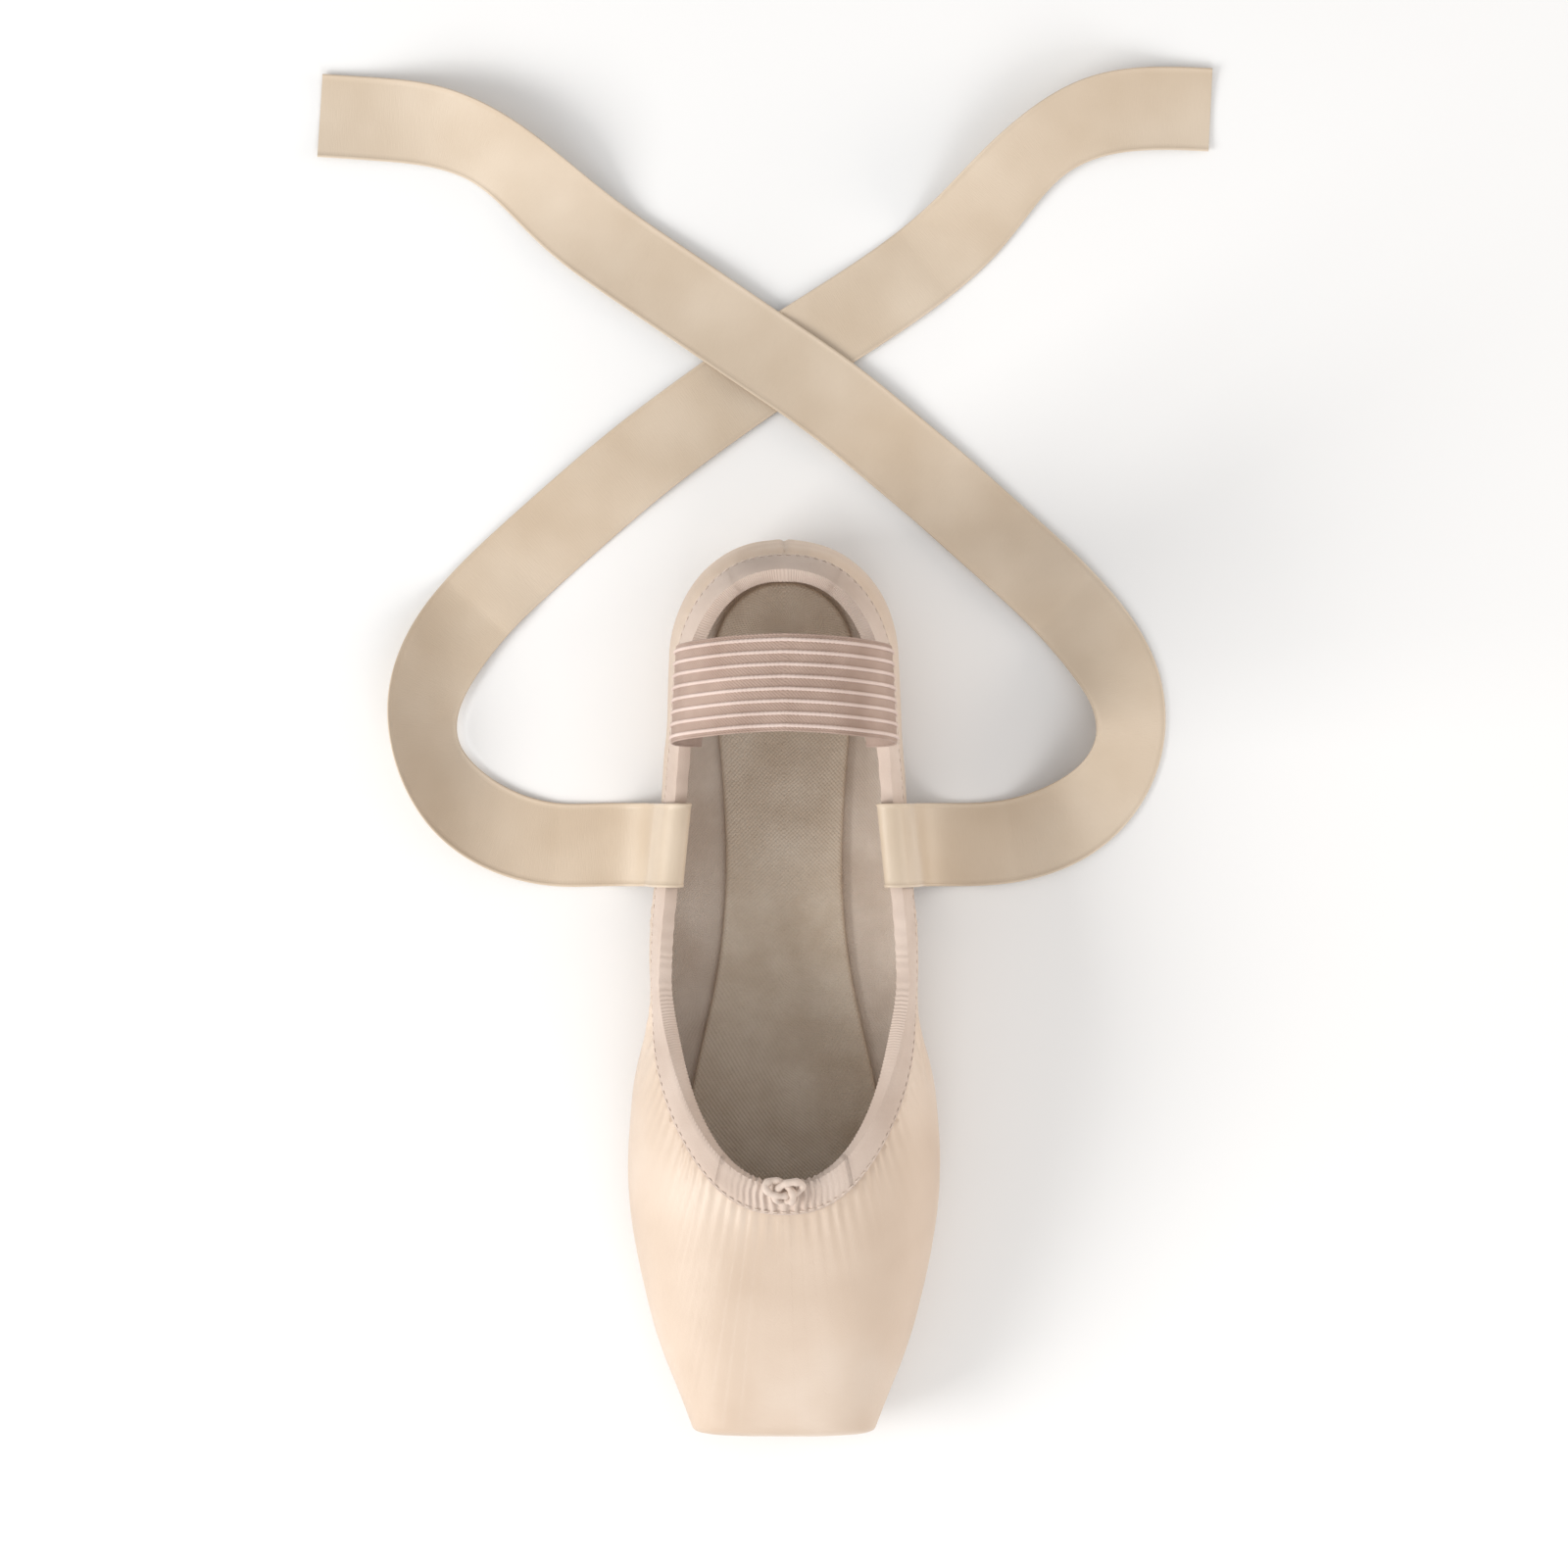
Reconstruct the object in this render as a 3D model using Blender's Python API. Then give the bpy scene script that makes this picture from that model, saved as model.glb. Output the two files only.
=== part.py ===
"""A pointe shoe, empty and unbent on its sole, built as separate closed solids.

X runs from heel to toe, Y to the wearer's left and Z up, in metres. The origin is on
the floor under the middle of the shoe. A station is a distance from the back of the heel.
"""

import math

import bmesh
import bpy
import numpy as np

# Length and the rounding of both ends
SHOE_LENGTH = 0.235
HEEL_ROUND = 0.030
TOE_ROUND = 0.0032
HEEL_POWER = 2.0
TOE_POWER = 5.0
SECTION_POWER = 2.3

# Sole: thickness, arch, toe spring and the stations where it is flat on the floor
OUTSOLE_THICKNESS = 0.0022
HEEL_FLAT = (0.010, 0.046)
FOREFOOT_FLAT = (0.140, 0.184)
ARCH_RISE = 0.0042
TOE_SPRING = 0.0050
GAP = 0.0003

# One row for each cross-section of the last: its widest half-width and how high that is
SECTION_COLUMNS = ("station", "half_width", "equator", "wall")
SECTIONS = (
    (0.000, 0.0290, 0.0165, 0.0022),
    (0.030, 0.0300, 0.0160, 0.0020),
    (0.060, 0.0316, 0.0160, 0.0016),
    (0.090, 0.0342, 0.0165, 0.0016),
    (0.110, 0.0352, 0.0165, 0.0017),
    (0.124, 0.0353, 0.0160, 0.0020),
    (0.132, 0.0370, 0.0155, 0.0024),
    (0.141, 0.0392, 0.0155, 0.0027),
    (0.151, 0.0404, 0.0155, 0.0029),
    (0.164, 0.0409, 0.0155, 0.0030),
    (0.177, 0.0401, 0.0155, 0.0031),
    (0.192, 0.0375, 0.0160, 0.0033),
    (0.208, 0.0335, 0.0170, 0.0035),
    (0.223, 0.0278, 0.0182, 0.0038),
    (0.235, 0.0232, 0.0194, 0.0040),
)

# The topline: the edge of the upper round the foot, and its height from the floor
TOPLINE_BACK = 0.0085
TOPLINE_FRONT = 0.1687
TOPLINE_BACK_ROUND = 0.0315
TOPLINE_FRONT_ROUND = 0.0537
TOPLINE_FRONT_POWER = 1.7
TOPLINE_COLUMNS = ("station", "half_opening", "height")
TOPLINE = (
    (0.0085, 0.0252, 0.0535),
    (0.0200, 0.0254, 0.0513),
    (0.0400, 0.0260, 0.0460),
    (0.0600, 0.0273, 0.0410),
    (0.0800, 0.0291, 0.0390),
    (0.1000, 0.0312, 0.0393),
    (0.1150, 0.0320, 0.0410),
    (0.1300, 0.0320, 0.0445),
    (0.1420, 0.0320, 0.0477),
    (0.1550, 0.0320, 0.0508),
    (0.1687, 0.0320, 0.0528),
)

# The crown of the vamp from the throat to the platform
VAMP_COLUMNS = ("station", "crown")
VAMP = (
    (0.1687, 0.0528),
    (0.1850, 0.0483),
    (0.2000, 0.0438),
    (0.2150, 0.0391),
    (0.2350, 0.0322),
)

# Half-widths of the flat underside, of the hole in it, of the outsole and the insole
UNDERSIDE_COLUMNS = ("station", "flat", "hole", "outsole", "insole")
UNDERSIDE = (
    (0.000, 0.0180, 0.0110, 0.0165, 0.0168),
    (0.030, 0.0195, 0.0122, 0.0175, 0.0184),
    (0.060, 0.0175, 0.0095, 0.0145, 0.0164),
    (0.092, 0.0165, 0.0078, 0.0125, 0.0154),
    (0.120, 0.0200, 0.0110, 0.0165, 0.0188),
    (0.145, 0.0255, 0.0175, 0.0230, 0.0243),
    (0.168, 0.0278, 0.0200, 0.0255, 0.0266),
    (0.190, 0.0262, 0.0185, 0.0240, 0.0250),
    (0.212, 0.0215, 0.0150, 0.0200, 0.0202),
    (0.235, 0.0170, 0.0120, 0.0165, 0.0156),
)
FLAT_ENDS = (0.0085, 0.2325)
HOLE_ENDS = (0.0150, 0.2050)
OUTSOLE_ENDS = (0.0090, 0.2110)
INSOLE_ENDS = (0.0110, 0.2215)
UNDERSIDE_ROUNDS = (0.020, 0.018)
UNDERSIDE_POWERS = (2.0, 2.4)
UNDERSIDE_SIDE_POWER = 2.2

# How square the wall turns in to the flat, along the shoe and at the platform
LOWER_POWER = 2.2
LOWER_TOE_POWER = 3.6
LOWER_TOE_ZONE = (0.205, 0.232)

# The edges of both plates: how far each ring is drawn in, and its height over the lower face
INSOLE_THICKNESS = 0.0022
INSOLE_EDGE = ((0.0012, 0.0), (0.0, 0.0010), (0.0006, INSOLE_THICKNESS))
OUTSOLE_EDGE = (
    (0.0009, 0.0),
    (0.0, 0.0008),
    (0.0, OUTSOLE_THICKNESS - 0.0004),
    (0.0006, OUTSOLE_THICKNESS),
)

# The binding: depths of its two legs under the topline, its thickness and its round edge
BINDING_OUTER_DEPTHS = (0.0074, 0.0048, 0.0022, 0.0)
BINDING_INNER_DEPTHS = (0.0052, 0.0024, 0.0)
TAPE_THICKNESS = 0.0010
TAPE_GAP = 0.0004
TAPE_CORNER = 0.72

# The elastic: station, y and height along half its arch, from its sewn end to its crown
ELASTIC_WIDTH = 0.025
ELASTIC_THICKNESS = 0.0013
ELASTIC_TURN = 6.5
ELASTIC_ARCH = (
    (0.0420, 0.0216, 0.0290),
    (0.0420, 0.0210, 0.0380),
    (0.0420, 0.0206, 0.0460),
    (0.0420, 0.0233, 0.0560),
    (0.0415, 0.0278, 0.0700),
    (0.0405, 0.0270, 0.0840),
    (0.0395, 0.0208, 0.0955),
    (0.0385, 0.0112, 0.1020),
    (0.0380, 0.0000, 0.1040),
)

# The ribbons: width, station, and how far their place on the collar is turned in plan
RIBBON_WIDTH = 0.022
RIBBON_THICKNESS = 0.0007
RIBBON_BED = RIBBON_THICKNESS / 2 + 0.0001
RIBBON_STATION = 0.080
RIBBON_TURN = 5.7
RIBBON_TURN_START = 0.75

# Distance out and height, from the sewn end inside, over the collar and down the wall
COLLAR_ROUTE = (
    (0.0306, 0.0195),
    (0.0303, 0.0240),
    (0.0292, 0.0285),
    (0.0276, 0.0322),
    (0.0263, 0.0356),
    (0.0254, 0.0388),
    (0.0257, 0.0411),
    (0.0272, 0.0422),
    (0.0293, 0.0422),
    (0.0311, 0.0411),
    (0.0323, 0.0384),
    (0.0334, 0.0345),
    (0.0341, 0.0298),
    (0.0346, 0.0230),
    (0.0349, 0.0155),
    (0.0355, 0.0094),
    (0.0374, 0.0044),
    (0.0412, 0.0015),
    (0.0470, 0.0005),
)

# Along the floor: x, y, lift over the floor and lean of the ribbon's width, in degrees
FLOOR_ROUTE_LEFT = (
    (-0.0385, 0.0600, 0.0000, 0),
    (-0.0430, 0.0735, 0.0000, 10),
    (-0.0515, 0.0845, 0.0000, 26),
    (-0.0635, 0.0908, 0.0000, 34),
    (-0.0770, 0.0902, 0.0000, 26),
    (-0.0895, 0.0840, 0.0000, 10),
    (-0.1010, 0.0745, 0.0000, 0),
    (-0.1115, 0.0637, 0.0000, 0),
    (-0.1215, 0.0525, 0.0000, 0),
    (-0.1315, 0.0413, 0.0000, 0),
    (-0.1410, 0.0300, 0.0004, 0),
    (-0.1505, 0.0185, 0.0013, 0),
    (-0.1595, 0.0065, 0.0016, 0),
    (-0.1680, -0.0060, 0.0016, 0),
    (-0.1765, -0.0185, 0.0013, 0),
    (-0.1850, -0.0310, 0.0004, 0),
    (-0.1935, -0.0435, 0.0000, 0),
    (-0.2025, -0.0555, 0.0000, -10),
    (-0.2125, -0.0667, 0.0000, -24),
    (-0.2215, -0.0787, 0.0000, -28),
    (-0.2270, -0.0927, 0.0000, -16),
    (-0.2290, -0.1077, 0.0000, -4),
    (-0.2300, -0.1225, 0.0000, 0),
)
FLOOR_ROUTE_RIGHT = (
    (-0.0375, -0.0600, 0.0000, 0),
    (-0.0410, -0.0740, 0.0000, 8),
    (-0.0490, -0.0860, 0.0000, 24),
    (-0.0605, -0.0935, 0.0000, 38),
    (-0.0745, -0.0950, 0.0000, 32),
    (-0.0880, -0.0900, 0.0000, 14),
    (-0.1000, -0.0812, 0.0000, 0),
    (-0.1107, -0.0705, 0.0000, 0),
    (-0.1207, -0.0594, 0.0000, 0),
    (-0.1305, -0.0482, 0.0000, 0),
    (-0.1400, -0.0367, 0.0000, 0),
    (-0.1490, -0.0248, 0.0000, 0),
    (-0.1577, -0.0126, 0.0000, 0),
    (-0.1660, -0.0002, 0.0000, 0),
    (-0.1740, 0.0124, 0.0000, 0),
    (-0.1822, 0.0250, 0.0000, 0),
    (-0.1910, 0.0372, 0.0000, 0),
    (-0.2010, 0.0484, 0.0000, 10),
    (-0.2122, 0.0583, 0.0000, 24),
    (-0.2225, 0.0692, 0.0000, 30),
    (-0.2295, 0.0826, 0.0000, 18),
    (-0.2318, 0.0976, 0.0000, 4),
    (-0.2315, 0.1126, 0.0000, 0),
)

# The drawstring's knot on the binding at the throat: station, y and height along its loop
DRAWSTRING_DIAMETER = 0.0022
KNOT_ROUTE = (
    (0.1722, -0.0010, 0.0548),
    (0.1716, -0.0030, 0.0551),
    (0.1700, -0.0046, 0.0555),
    (0.1680, -0.0046, 0.0560),
    (0.1668, -0.0028, 0.0564),
    (0.1664, 0.0000, 0.0565),
    (0.1668, 0.0028, 0.0564),
    (0.1680, 0.0046, 0.0560),
    (0.1700, 0.0046, 0.0555),
    (0.1716, 0.0030, 0.0551),
    (0.1724, 0.0014, 0.0548),
)

# How finely the shell is divided: columns in each zone of half the outline, and rows
COLUMN_ZONES = (
    (0.030, 7),
    (0.116, 9),
    (0.216, 13),
    (0.231, 4),
)
PLATFORM_COLUMNS = 6
MARGIN_ROWS = 2
LOWER_ROWS = 4
WALL_ROWS = 5
ROOF_ROWS = 5
MATCHED_STATIONS = (0.045, 0.108)
OUTLINE_STEPS = 160
ROOF_STEPS = 260
SHOULDER_SHARE = 0.5

# Points along half the outsole and half the insole, along each ribbon's two stretches,
# along half the elastic and along the knot
OUTSOLE_POINTS = 34
INSOLE_POINTS = 30
END_CROWDING = 0.55
RIBBON_POINTS = (34, 56)
ELASTIC_POINTS = 21
KNOT_POINTS = 19

SATIN = (0.63, 0.50, 0.40)
LEATHER = (0.62, 0.48, 0.36)
CANVAS = (0.74, 0.68, 0.60)
TAPE = (0.66, 0.54, 0.46)
NET = (0.68, 0.54, 0.47)
RIBBON = (0.66, 0.55, 0.43)


def clear_scene():
    for thing in list(bpy.data.objects):
        bpy.data.objects.remove(thing)


def curve_through(stations, values):
    """The natural cubic curve through a table's values, as a function of the station."""
    xs = np.array(stations, float)
    ys = np.array(values, float)
    gaps = np.diff(xs)
    slopes = np.diff(ys) / gaps
    system = np.eye(len(xs))
    turns = np.zeros(len(xs))
    for i in range(1, len(xs) - 1):
        system[i, i - 1 : i + 2] = gaps[i - 1], 2 * (gaps[i - 1] + gaps[i]), gaps[i]
        turns[i] = 6 * (slopes[i] - slopes[i - 1])
    bend = np.linalg.solve(system, turns)

    def at(station):
        x = np.clip(station, xs[0], xs[-1])
        i = np.clip(np.searchsorted(xs, x) - 1, 0, len(gaps) - 1)
        step = x - xs[i]
        slope = slopes[i] - gaps[i] * (2 * bend[i] + bend[i + 1]) / 6
        change = (bend[i + 1] - bend[i]) / (6 * gaps[i])
        return ys[i] + step * slope + step**2 * bend[i] / 2 + step**3 * change

    return at


def column(table, names, name):
    """A smooth curve through one named column of a table."""
    rows = np.array(table)
    return curve_through(rows[:, 0], rows[:, names.index(name)])


half_width = column(SECTIONS, SECTION_COLUMNS, "half_width")
equator = column(SECTIONS, SECTION_COLUMNS, "equator")
wall = column(SECTIONS, SECTION_COLUMNS, "wall")
half_opening = column(TOPLINE, TOPLINE_COLUMNS, "half_opening")
topline_height = column(TOPLINE, TOPLINE_COLUMNS, "height")
vamp_crown = column(VAMP, VAMP_COLUMNS, "crown")


def floor_line(station):
    """Height of the sole's lower face: flat at heel and forefoot, with an arch and a toe spring."""
    span = FOREFOOT_FLAT[0] - HEEL_FLAT[1]
    along = np.clip((station - HEEL_FLAT[1]) / span, 0, 1)
    arch = ARCH_RISE * np.sin(math.pi * along) ** 2
    front = np.clip((station - FOREFOOT_FLAT[1]) / (SHOE_LENGTH - FOREFOOT_FLAT[1]), 0, 1)
    return arch + TOE_SPRING * front**1.8


def underside(station):
    """Height of the upper's lower face, on top of the outsole."""
    return floor_line(station) + OUTSOLE_THICKNESS + GAP


def skin_base(station, inset):
    """Height of the flat part of the upper's outer skin, or of its inner one."""
    return underside(station) + inset * wall(station)


def half_outline(half, ends, rounds, powers, side_power=SECTION_POWER):
    """Half of a closed outline in plan, from its back end to its front end."""
    quarter = np.linspace(0, math.pi / 2, OUTLINE_STEPS)
    back_v = np.cos(quarter) ** (2 / powers[0])
    back_u = ends[0] + rounds[0] * (1 - back_v)
    back_y = half(back_u) * np.sin(quarter) ** (2 / side_power)
    front_v = np.sin(quarter) ** (2 / powers[1])
    front_u = ends[1] - rounds[1] * (1 - front_v)
    front_y = half(front_u) * np.cos(quarter) ** (2 / side_power)
    side_u = np.linspace(ends[0] + rounds[0], ends[1] - rounds[1], OUTLINE_STEPS)[1:-1]
    u = np.concatenate([back_u, side_u, front_u])
    y = np.concatenate([back_y, half(side_u), front_y])
    y[0] = y[-1] = 0
    return np.column_stack([u, y])


def arc_lengths(line):
    steps = np.linalg.norm(np.diff(line, axis=0), axis=1)
    return np.concatenate([[0], np.cumsum(steps)])


def unit(vectors):
    """Each vector of an array at length one."""
    return vectors / np.maximum(np.linalg.norm(vectors, axis=-1, keepdims=True), 1e-12)


def points_at(line, arcs):
    """Points of a polyline at the given lengths along it."""
    along = arc_lengths(line)
    return np.column_stack([np.interp(arcs, along, line[:, k]) for k in range(line.shape[1])])


def inside(station, y, inset):
    """How far a plan point is inside the outline: 0 on it, 1 on the middle line."""
    heel = np.clip((HEEL_ROUND - station) / (HEEL_ROUND - inset * wall(0)), 0, 1)
    toe_start = SHOE_LENGTH - TOE_ROUND - inset * wall(SHOE_LENGTH)
    toe = np.clip((station - toe_start) / TOE_ROUND, 0, 1)
    across = np.abs(y) / (half_width(station) - inset * wall(station))
    return 1 - across**SECTION_POWER - heel**HEEL_POWER - toe**TOE_POWER


def crown_rise(station):
    """Height of the closed form over its equator: it passes through the topline and the vamp."""
    u = np.clip(station, TOPLINE_BACK, TOPLINE_FRONT)
    line = topline_outline()
    depth = inside(u, np.interp(u, line[:, 0], line[:, 1]), 0)
    through_topline = (topline_height(u) - equator(u)) / depth ** (1 / SECTION_POWER)
    return np.where(station < TOPLINE_FRONT, through_topline, vamp_crown(station) - equator(station))


def topline_outline():
    return half_outline(
        half_opening,
        (TOPLINE_BACK, TOPLINE_FRONT),
        (TOPLINE_BACK_ROUND, TOPLINE_FRONT_ROUND),
        (HEEL_POWER, TOPLINE_FRONT_POWER),
    )


def outline(inset):
    """The plan outline of the outer form, or of the inner one with an inset of 1."""
    back = inset * wall(0)
    front = SHOE_LENGTH - inset * wall(SHOE_LENGTH)
    return half_outline(
        lambda u: half_width(u) - inset * wall(u),
        (back, front),
        (HEEL_ROUND - back, TOE_ROUND),
        (HEEL_POWER, TOE_POWER),
    )


def height_over(station, y, inset):
    """Height of the upper half of the form over a plan point."""
    depth = np.clip(inside(station, y, inset), 0, 1)
    rise = crown_rise(station) - inset * wall(station)
    return equator(station) + rise * depth ** (1 / SECTION_POWER)


def column_arcs(line):
    """Lengths along half an outline at which the shell's columns stand."""
    along = arc_lengths(line)
    stops = [0.0]
    for station, count in COLUMN_ZONES:
        end = np.interp(station, line[:, 0], along)
        stops += list(np.linspace(stops[-1], end, count + 1)[1:])
    stops += list(np.linspace(stops[-1], along[-1], PLATFORM_COLUMNS + 1)[1:])
    return np.array(stops)


def matched(line, guide, arcs):
    """Points of one outline opposite the points at the given lengths of another."""
    own = arc_lengths(line)
    other = arc_lengths(guide)
    keys = [0.0] + [np.interp(s, guide[:, 0], other) for s in MATCHED_STATIONS] + [other[-1]]
    values = [0.0] + [np.interp(s, line[:, 0], own) for s in MATCHED_STATIONS] + [own[-1]]
    return points_at(line, np.interp(arcs, keys, values))


def underside_outline(name, ends):
    half = column(UNDERSIDE, UNDERSIDE_COLUMNS, name)
    return half_outline(half, ends, UNDERSIDE_ROUNDS, UNDERSIDE_POWERS, UNDERSIDE_SIDE_POWER)


def roof_line(start, end, inset):
    """The form over a straight plan line from the outline to the topline, finely divided."""
    part = np.linspace(0, 1, ROOF_STEPS) ** 4
    plan = start + (end - start) * part[:, None]
    return np.column_stack([plan, height_over(plan[:, 0], plan[:, 1], inset)])


def wall_column(start, end, inset, rows):
    """The wall and roof of one column, from the equator to the topline."""
    line = roof_line(start, end, inset)
    along = arc_lengths(line)
    shoulder = min(SHOULDER_SHARE * along[-1], crown_rise(start[0]))
    arcs = np.concatenate(
        [np.linspace(0, shoulder, rows[0] + 1), np.linspace(shoulder, along[-1], rows[1] + 1)[1:]]
    )
    return points_at(line, arcs)


def lower_column(hole, flat, side, inset, rows):
    """The margin under the foot and the round of the wall up to the equator."""
    toe_part = np.interp(side[0], LOWER_TOE_ZONE, (0, 1))
    margin = np.linspace(0, 1, rows[0] + 1)[:-1, None]
    plan = hole + (flat - hole) * margin
    under = np.column_stack([plan, skin_base(plan[:, 0], inset)])
    turn = np.linspace(0, math.pi / 2, rows[1] + 1)[:-1]
    power = LOWER_POWER + (LOWER_TOE_POWER - LOWER_POWER) * toe_part
    out = np.sin(turn) ** (2 / power)
    up = 1 - np.cos(turn) ** (2 / power)
    low = skin_base(flat[0], inset)
    high = equator(side[0])
    plan = flat + (side - flat) * out[:, None]
    return np.vstack([under, np.column_stack([plan, low + (high - low) * up])])


def column_ends(inset):
    """For each column of half the shell: its points on the hole, flat, outline and topline."""
    guide = outline(0)
    arcs = column_arcs(guide)
    total = arc_lengths(guide)[-1]
    sides = outline(inset)
    sides = points_at(sides, arcs / total * arc_lengths(sides)[-1])
    tops = matched(topline_outline(), guide, arcs)
    flats = matched(underside_outline("flat", FLAT_ENDS), guide, arcs)
    holes = matched(underside_outline("hole", HOLE_ENDS), guide, arcs)
    return holes, flats, sides, inner_tops(sides, tops) if inset else tops


def inner_tops(sides, tops):
    """Where the inner skin meets the rim: a wall's thickness in from the topline."""
    starts = outline(0)
    starts = points_at(starts, column_arcs(starts))
    edge = [roof_line(start, top, 0)[-2:] for start, top in zip(starts, tops)]
    normals = outward_normals(whole_ring(np.array(edge)))[: len(tops), -1]
    rim = tops - normals[:, :2] * wall(tops[:, 0])[:, None]
    rim[0, 1] = rim[-1, 1] = 0
    return rim


def skin(inset):
    """One skin of the shell as a closed ring of columns, each from the hole to the topline."""
    grid = []
    for hole, flat, side, top in zip(*column_ends(inset)):
        low = lower_column(hole, flat, side, inset, (MARGIN_ROWS, LOWER_ROWS))
        high = wall_column(side, top, inset, (WALL_ROWS, ROOF_ROWS))
        grid.append(np.vstack([low, high]))
    return whole_ring(np.array(grid))


def topline_band(inset, depths):
    """A ring of skin points at set depths under the topline, measured along the skin."""
    grid = []
    for _, _, side, top in zip(*column_ends(inset)):
        line = roof_line(side, top, inset)
        grid.append(points_at(line, arc_lengths(line)[-1] - np.array(depths)))
    return whole_ring(np.array(grid))


def whole_ring(half):
    """The half grid and its mirror image as one closed ring of columns."""
    mirror = half[-2:0:-1] * (1, -1, 1)
    return np.concatenate([half, mirror])


def outward_normals(ring):
    """Unit normals of a ring's grid, pointing away from the foot."""
    along = np.roll(ring, -1, axis=0) - np.roll(ring, 1, axis=0)
    up = np.gradient(ring, axis=1)
    return unit(np.cross(up, along))


def place(points):
    """Row-frame points of points given by their station."""
    return np.asarray(points) - (SHOE_LENGTH / 2, 0, 0)


def ring_faces(columns, rows, start, closed_rows):
    """Quads over a ring of columns; with closed_rows the rows close on themselves too."""
    faces = []
    for i in range(columns):
        a = start + i * rows
        b = start + (i + 1) % columns * rows
        for j in range(rows if closed_rows else rows - 1):
            k = (j + 1) % rows
            faces.append((a + j, b + j, b + k, a + k))
    return faces


def add_object(name, points, faces, colour, roughness):
    """A named object with a material, its faces pointing out."""
    mesh = bpy.data.meshes.new(name)
    mesh.from_pydata([tuple(p) for p in place(points)], [], faces)
    shape = bmesh.new()
    shape.from_mesh(mesh)
    bmesh.ops.recalc_face_normals(shape, faces=shape.faces)
    shape.to_mesh(mesh)
    shape.free()
    mesh.shade_smooth()
    mesh.set_sharp_from_angle(angle=math.radians(40))
    thing = bpy.data.objects.new(name, mesh)
    bpy.context.scene.collection.objects.link(thing)
    material = bpy.data.materials.new(name)
    material.use_nodes = True
    shader = material.node_tree.nodes["Principled BSDF"]
    shader.inputs["Base Color"].default_value = (*colour, 1)
    shader.inputs["Roughness"].default_value = roughness
    mesh.materials.append(material)


def add_upper():
    """The hollow upper: outer skin, inner skin, and a rim at the topline and at the hole."""
    section = np.concatenate([skin(0), skin(1)[:, ::-1]], axis=1)
    columns, rows = section.shape[:2]
    faces = ring_faces(columns, rows, 0, True)
    add_object("upper", section.reshape(-1, 3), faces, SATIN, 0.4)


def add_binding():
    """The drawstring casing: tape folded over the topline, with a leg outside and one inside."""
    outer = topline_band(0, BINDING_OUTER_DEPTHS)
    inner = topline_band(1, BINDING_INNER_DEPTHS)
    out = outward_normals(outer)
    into = -outward_normals(inner)
    over = unit(outer[:, -1] - outer[:, -2])
    middle = (outer[:, -1] + inner[:, -1]) / 2
    surfaces = []
    for lift, corner in ((TAPE_GAP + TAPE_THICKNESS, TAPE_CORNER), (TAPE_GAP, 1.0)):
        outer_leg = outer + out * lift
        outer_leg[:, -1] += over * lift * corner - out[:, -1] * lift * (1 - corner)
        crest = middle + over * lift
        inner_leg = inner + into * lift
        inner_leg[:, -1] += over * lift * corner - into[:, -1] * lift * (1 - corner)
        surfaces.append(np.concatenate([outer_leg, crest[:, None], inner_leg[:, ::-1]], axis=1))
    far, near = surfaces
    section = np.concatenate([far, near[:, ::-1]], axis=1)
    columns, rows = section.shape[:2]
    faces = ring_faces(columns, rows, 0, True)
    add_object("binding", section.reshape(-1, 3), faces, TAPE, 0.8)


def add_strip(name, centres, across, width, thickness, colour):
    """A flat band through its centres, with its width along the given directions."""
    tangent = unit(np.gradient(centres, axis=0))
    across = unit(across - tangent * np.sum(across * tangent, axis=1, keepdims=True))
    face = np.cross(tangent, across)
    corners = ((-1, -1), (1, -1), (1, 1), (-1, 1))
    points = [
        centres + across * (a * width / 2) + face * (b * thickness / 2) for a, b in corners
    ]
    section = np.stack(points, axis=1)
    count = len(centres)
    faces = []
    for i in range(count - 1):
        for j in range(4):
            k = (j + 1) % 4
            faces.append((i * 4 + j, i * 4 + k, (i + 1) * 4 + k, (i + 1) * 4 + j))
    faces += [(3, 2, 1, 0), tuple((count - 1) * 4 + j for j in range(4))]
    add_object(name, section.reshape(-1, 3), faces, colour, 0.5)


def add_elastic():
    """The elastic over the ankle, in its worn arch, its ends inside the collar."""
    half = np.array(ELASTIC_ARCH)
    along = arc_lengths(half[:, 1:])
    curve = [curve_through(along, half[:, k]) for k in range(3)]
    arcs = np.linspace(0, along[-1], ELASTIC_POINTS)
    left = np.column_stack([line(arcs) for line in curve])
    centres = np.vstack([left, left[-2::-1] * (1, -1, 1)])
    turn = math.radians(ELASTIC_TURN) * np.linspace(1, -1, len(centres))
    across = np.column_stack([np.cos(turn), np.sin(turn), np.zeros(len(turn))])
    add_strip("ankle_elastic", centres, across, ELASTIC_WIDTH, ELASTIC_THICKNESS, NET)


def plate_rings(line, edge, base):
    """Rings of an outline, each drawn in and set at its height over the base line."""
    tangent = unit(np.gradient(line, axis=0))
    inward = np.column_stack([tangent[:, 1], -tangent[:, 0]])
    rings = []
    for inset, height in edge:
        half = line + inward * inset
        half[0, 1] = half[-1, 1] = 0
        ring = np.vstack([half, half[-2:0:-1] * (1, -1)])
        rings.append(np.column_stack([ring, base(ring[:, 0]) + height]))
    return np.array(rings)


def add_plate(name, line, edge, base, colour, roughness):
    """A thin plate over half an outline: rings up its edge, closed by rungs across both faces."""
    rings = plate_rings(line, edge, base)
    levels, size = rings.shape[:2]
    faces = []
    for level in range(levels - 1):
        for i in range(size):
            a = level * size + i
            b = level * size + (i + 1) % size
            faces.append((a, b, b + size, a + size))
    for base in (0, (levels - 1) * size):
        for i in range(len(line) - 1):
            left = (base + i, base + i + 1)
            right = (base + (size - i) % size, base + (size - i - 1) % size)
            quad = (left[0], left[1], right[1], right[0])
            faces.append(tuple(dict.fromkeys(quad)))
    add_object(name, rings.reshape(-1, 3), faces, colour, roughness)


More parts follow.
